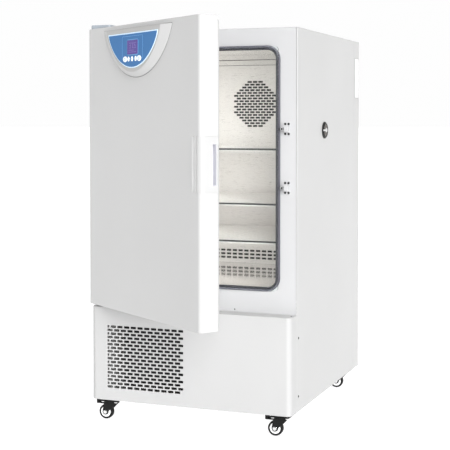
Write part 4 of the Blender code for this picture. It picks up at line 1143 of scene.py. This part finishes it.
def keys():
    """Domed keys: round ones at the ends with a ring mark, narrow ones with a bar mark between them."""
    for node in KEYS:
        low, high = door_box(node)
        mid = (low + high) / 2
        face, back = low.y, high.y
        mark_face, mark_back = face - 0.0002, face + 0.0002
        levels = [(0.0, back), (0.0, face + 0.0009), (0.0004, face + 0.0004), (0.0012, face + 0.0001),
                  (0.0024, face)]
        piece(f"{node}_cap", loft(key_outline(node), levels), KEY, node, [node], 50)
        if node in (KEYS[0], KEYS[-1]):
            band = [(0.0, mark_back), (0.0, mark_face), (0.0013, mark_face), (0.0013, mark_back)]
            mark = ring_sweep(lambda inset, m=mid: oval((m.x, m.z), (0.0046, 0.0046), inset), band)
        else:
            mark = block((mid.x - 0.0009, mark_face, mid.z - 0.0026),
                         (mid.x + 0.0009, mark_back, mid.z + 0.0026), 0.0008)
        piece(f"{node}_mark", mark, KEY_MARK, node)


# ---- casters ----
def fork_cheek(top, axle, radius):
    """Side outline of the fork, in (x, z) about the swivel axis: broad on top, round at the axle."""
    x, z = axle
    points = [(0.0205, top), (-0.0235, top), (-0.0265, top - 0.003), (-0.0280, top - 0.009)]
    points += arc(axle, radius, 165, 330, 12)
    points += [(x + 0.014, z + 0.004), (0.004, top - 0.019), (0.012, top - 0.010), (0.0195, top - 0.004)]
    return points


def caster_mount(name):
    """Spacer, plate with four bolts, and the two stepped rings of the swivel."""
    low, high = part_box(f"{name}_caster_plate")
    x, y = (low.x + high.x) / 2, (low.y + high.y) / 2
    race_high = FORK_TOP + GAP + 0.0065
    plate_high = race_high + 0.0035
    half_pad, bolt_offset = 0.029, 0.0242
    pad = block((x - half_pad, y - half_pad, plate_high - 0.0005),
                (x + half_pad, y + half_pad, high.z), 0.009, "Z", 0.0006)
    plate = block((low.x, low.y, race_high), (high.x, high.y, plate_high), 0.009, "Z", 0.0006)
    race = turned([(0, 0.001), (0.021, 0.001), (0.021, -0.0020), (0.0190, -0.0030), (0.0190, -0.0055),
                   (0.0175, -0.0065), (0, -0.0065)], 36, "Z")
    mount = carve(plate, [pad, moved(race, (x, y, race_high))], "UNION")
    piece(f"{name}_mount", mount, BLACK_STEEL, "cabinet", [f"{name}_caster_plate"])
    bolt = turned([(0, 0), (0.0052, 0), (0.0058, -0.0010), (0.0052, -0.0034), (0.0030, -0.0048),
                   (0, -0.0050)], 20, "Z")
    bolts = [moved(bolt, (x + dx, y + dy, race_high)) for dx in (-bolt_offset, bolt_offset)
             for dy in (-bolt_offset, bolt_offset)]
    piece(f"{name}_bolts", joined(bolts), CHROME, "cabinet", smooth=40)


def casters():
    """The four swivel casters, each with its mount, fork and wheel."""
    for name in ("front_left", "front_right", "rear_left", "rear_right"):
        caster_mount(name)
        wheel_low, wheel_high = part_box(f"{name}_caster_wheel")
        half = (wheel_high.y - wheel_low.y) / 2
        fork(name, centre(f"{name}_caster_plate"), centre(f"{name}_caster_wheel"), half)
        wheel(name, centre(f"{name}_caster_wheel"), half)


def fork(name, mount, hub, half_wheel):
    """Fork with two cheeks, the axle, and the brake pedal with its raised tread; nuts on the axle."""
    axle = (hub.x - mount.x, hub.z)
    inner = half_wheel + 0.0015
    outer = inner + 0.0025
    outline = fork_cheek(FORK_TOP - 0.0005, axle, 0.0100)
    cheeks = [skin([[lay(p, "Y", side * depth) for p in outline] for depth in (inner, outer)])
              for side in (-1, 1)]
    bridge = block((-0.0238, -outer, FORK_TOP - 0.003), (0.0208, outer, FORK_TOP), 0.006, "Z", 0.0008)
    axle_bar = moved(rod(0.003, -outer, outer, 16), (axle[0], 0, axle[1]))
    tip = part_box(f"{name}_caster_fork")[0].x - mount.x
    pedal_half, pedal_low = 0.0130, 0.0535
    arm = block((tip + 0.003, -pedal_half, pedal_low), (-0.0190, pedal_half, 0.0588), 0.004, "Z", 0.0008)
    tread = block((tip, -pedal_half, pedal_low), (tip + 0.0115, pedal_half, FORK_TOP + 0.0086), 0.004, "Z",
                  0.0012)
    mesh = moved(carve(bridge, [*cheeks, axle_bar, arm, tread], "UNION"), (mount.x, mount.y, 0))
    yoke = piece(f"{name}_yoke", mesh, BLACK_STEEL, f"{name}_fork", [f"{name}_caster_fork"])
    soften(yoke, 0.0006, 40)
    nut = turned([(0, 0), (0.0068, 0), (0.0068, 0.0006), (0.0058, 0.0010), (0.0056, 0.0028),
                  (0.0040, 0.0034), (0, 0.0034)], 24)
    nuts = [moved(nut, (hub.x, mount.y + side * outer, hub.z), turn)
            for side, turn in ((1, WORLD), (-1, FLIP_Y))]
    piece(f"{name}_axle_nuts", joined(nuts), CHROME, f"{name}_fork", smooth=40)


def wheel(name, mid, half):
    """Rubber tyre on a pale rim with a dark hub, each the same on both sides."""
    radius, shoulder = mid.z, 0.0040
    tyre = [(0.0185, half - 0.0012), (0.0200, half)]
    for angle in (math.pi / 2, math.pi / 3, math.pi / 6):
        tyre.append((radius - shoulder * (1 - math.cos(angle)), half - shoulder * (1 - math.sin(angle))))
    rim = [(0.0108, half - 0.0010), (0.0125, half - 0.0002), (0.0175, half - 0.0002), (0.0184, half - 0.0012)]
    hub = [(0.0034, half + 0.0006), (0.0080, half + 0.0006), (0.0092, half - 0.0004), (0.0107, half - 0.0010)]
    for part, side, middle, segments, finish, replaced in (
            ("tyre", tyre, [(radius, 0.0)], 56, TYRE, [f"{name}_caster_wheel"]),
            ("rim", rim, [], 48, RIM, []),
            ("hub", hub, [], 40, BLACK_PLASTIC, [])):
        profile = [(r, -y) for r, y in side] + middle + [(r, y) for r, y in reversed(side)]
        piece(f"{name}_{part}", moved(turned(profile, segments), mid), finish, f"{name}_wheel",
              replaced, smooth=50)


# ---- stage, light and camera ----
def stage():
    """A large pale floor, lit a little from within like a studio light table."""
    bm = bmesh.new()
    bmesh.ops.create_grid(bm, x_segments=2, y_segments=2, size=400.0)
    floor = bpy.data.objects.new("floor", to_mesh(bm, "floor"))
    SCENE.collection.objects.link(floor)
    paper = grey("floor_paper", 0.38, 0.40, (0.85, 0.95), drift=0.4, grain=60.0, relief=0.0,
                 Emission_Color=(1.0, 1.0, 1.0, 1.0), Emission_Strength=0.80)
    floor.data.materials.append(paper)


def sky():
    """Soft surroundings: white round the horizon, dim above it and bright overhead."""
    world = bpy.data.worlds.new("studio")
    SCENE.world = world
    world.use_nodes = True
    nodes, links = world.node_tree.nodes, world.node_tree.links
    coords = nodes.new("ShaderNodeTexCoord")
    split = nodes.new("ShaderNodeSeparateXYZ")
    ramp = nodes.new("ShaderNodeValToRGB")
    links.new(coords.outputs["Generated"], split.inputs["Vector"])
    links.new(split.outputs["Z"], ramp.inputs["Fac"])
    levels = ((0.0, 0.49), (0.19, 0.49), (0.26, 0.05), (0.60, 0.05), (0.90, 0.30))
    ramp.color_ramp.elements[0].position = levels[0][0]
    ramp.color_ramp.elements[1].position = levels[-1][0]
    for position, _ in levels[1:-1]:
        ramp.color_ramp.elements.new(position)
    for element, (_, value) in zip(ramp.color_ramp.elements, levels):
        element.color = (value, value, value, 1.0)
    links.new(ramp.outputs["Color"], nodes["Background"].inputs["Color"])
    nodes["Background"].inputs["Strength"].default_value = 2.02


def softbox(name, place, target, size, power, tint):
    """A rectangular lamp turned towards a point, hidden from the camera and from reflections."""
    data = bpy.data.lights.new(name, "AREA")
    data.shape = "RECTANGLE"
    data.size, data.size_y = size
    data.energy = power
    data.color = tint
    lamp = bpy.data.objects.new(name, data)
    SCENE.collection.objects.link(lamp)
    lamp.location = place
    lamp.rotation_euler = (Vector(target) - Vector(place)).to_track_quat("-Z", "Y").to_euler()
    lamp.visible_camera = False
    lamp.visible_glossy = False


def sun(name, tilt_deg, turn_deg, power, soft_deg):
    """A distant light, tilted from straight down and then turned about the vertical."""
    data = bpy.data.lights.new(name, "SUN")
    data.energy = power
    data.angle = math.radians(soft_deg)
    lamp = bpy.data.objects.new(name, data)
    SCENE.collection.objects.link(lamp)
    lamp.rotation_euler = (math.radians(tilt_deg), 0.0, math.radians(turn_deg))


def lights():
    """A soft key from the front right, a soft top light, and two lamps that light the chamber."""
    sun("key", 76, 38, 4.4, 42)
    sun("top", 0, 0, 1.5, 50)
    low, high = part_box("chamber_gasket")
    mid_z, mouth = (low.z + high.z) / 2, low.y + 0.10
    warm = (1.0, 0.962, 0.93)
    softbox("chamber_lamp_side", (low.x + 0.050, mouth, mid_z), (0.12, low.y + 0.60, mid_z), (0.05, 0.72),
            6.3, warm)
    softbox("chamber_lamp_floor", (-0.05, mouth, low.z + 0.10), (0.0, low.y + 0.45, low.z), (0.40, 0.05),
            0.55, warm)


def camera():
    """A long lens at chest height, ahead and to the right, turned 21 degrees towards the cabinet."""
    data = bpy.data.cameras.new("camera")
    data.sensor_width = 36.0
    data.lens = 92.70
    data.shift_y = -0.1484
    data.clip_end = 200.0
    eye = bpy.data.objects.new("camera", data)
    SCENE.collection.objects.link(eye)
    eye.location = (1.4912, -3.7824, 1.0360)
    eye.rotation_euler = (math.radians(90 - 1.81), 0.0, math.radians(20.98))
    SCENE.camera = eye
    SCENE.view_settings.view_transform = "Standard"


camera()
stage()
sky()
lights()
cabinet_panels()
front_details()
lower_cover()
rear_panel()
blank_label()
power_socket()
side_port()
catches()
hinges()
chamber()
duct_panel()
shelves()
glass_door()
hidden_works()
door_shell()
door_inside()
handle()
control_panel()
keys()
casters()
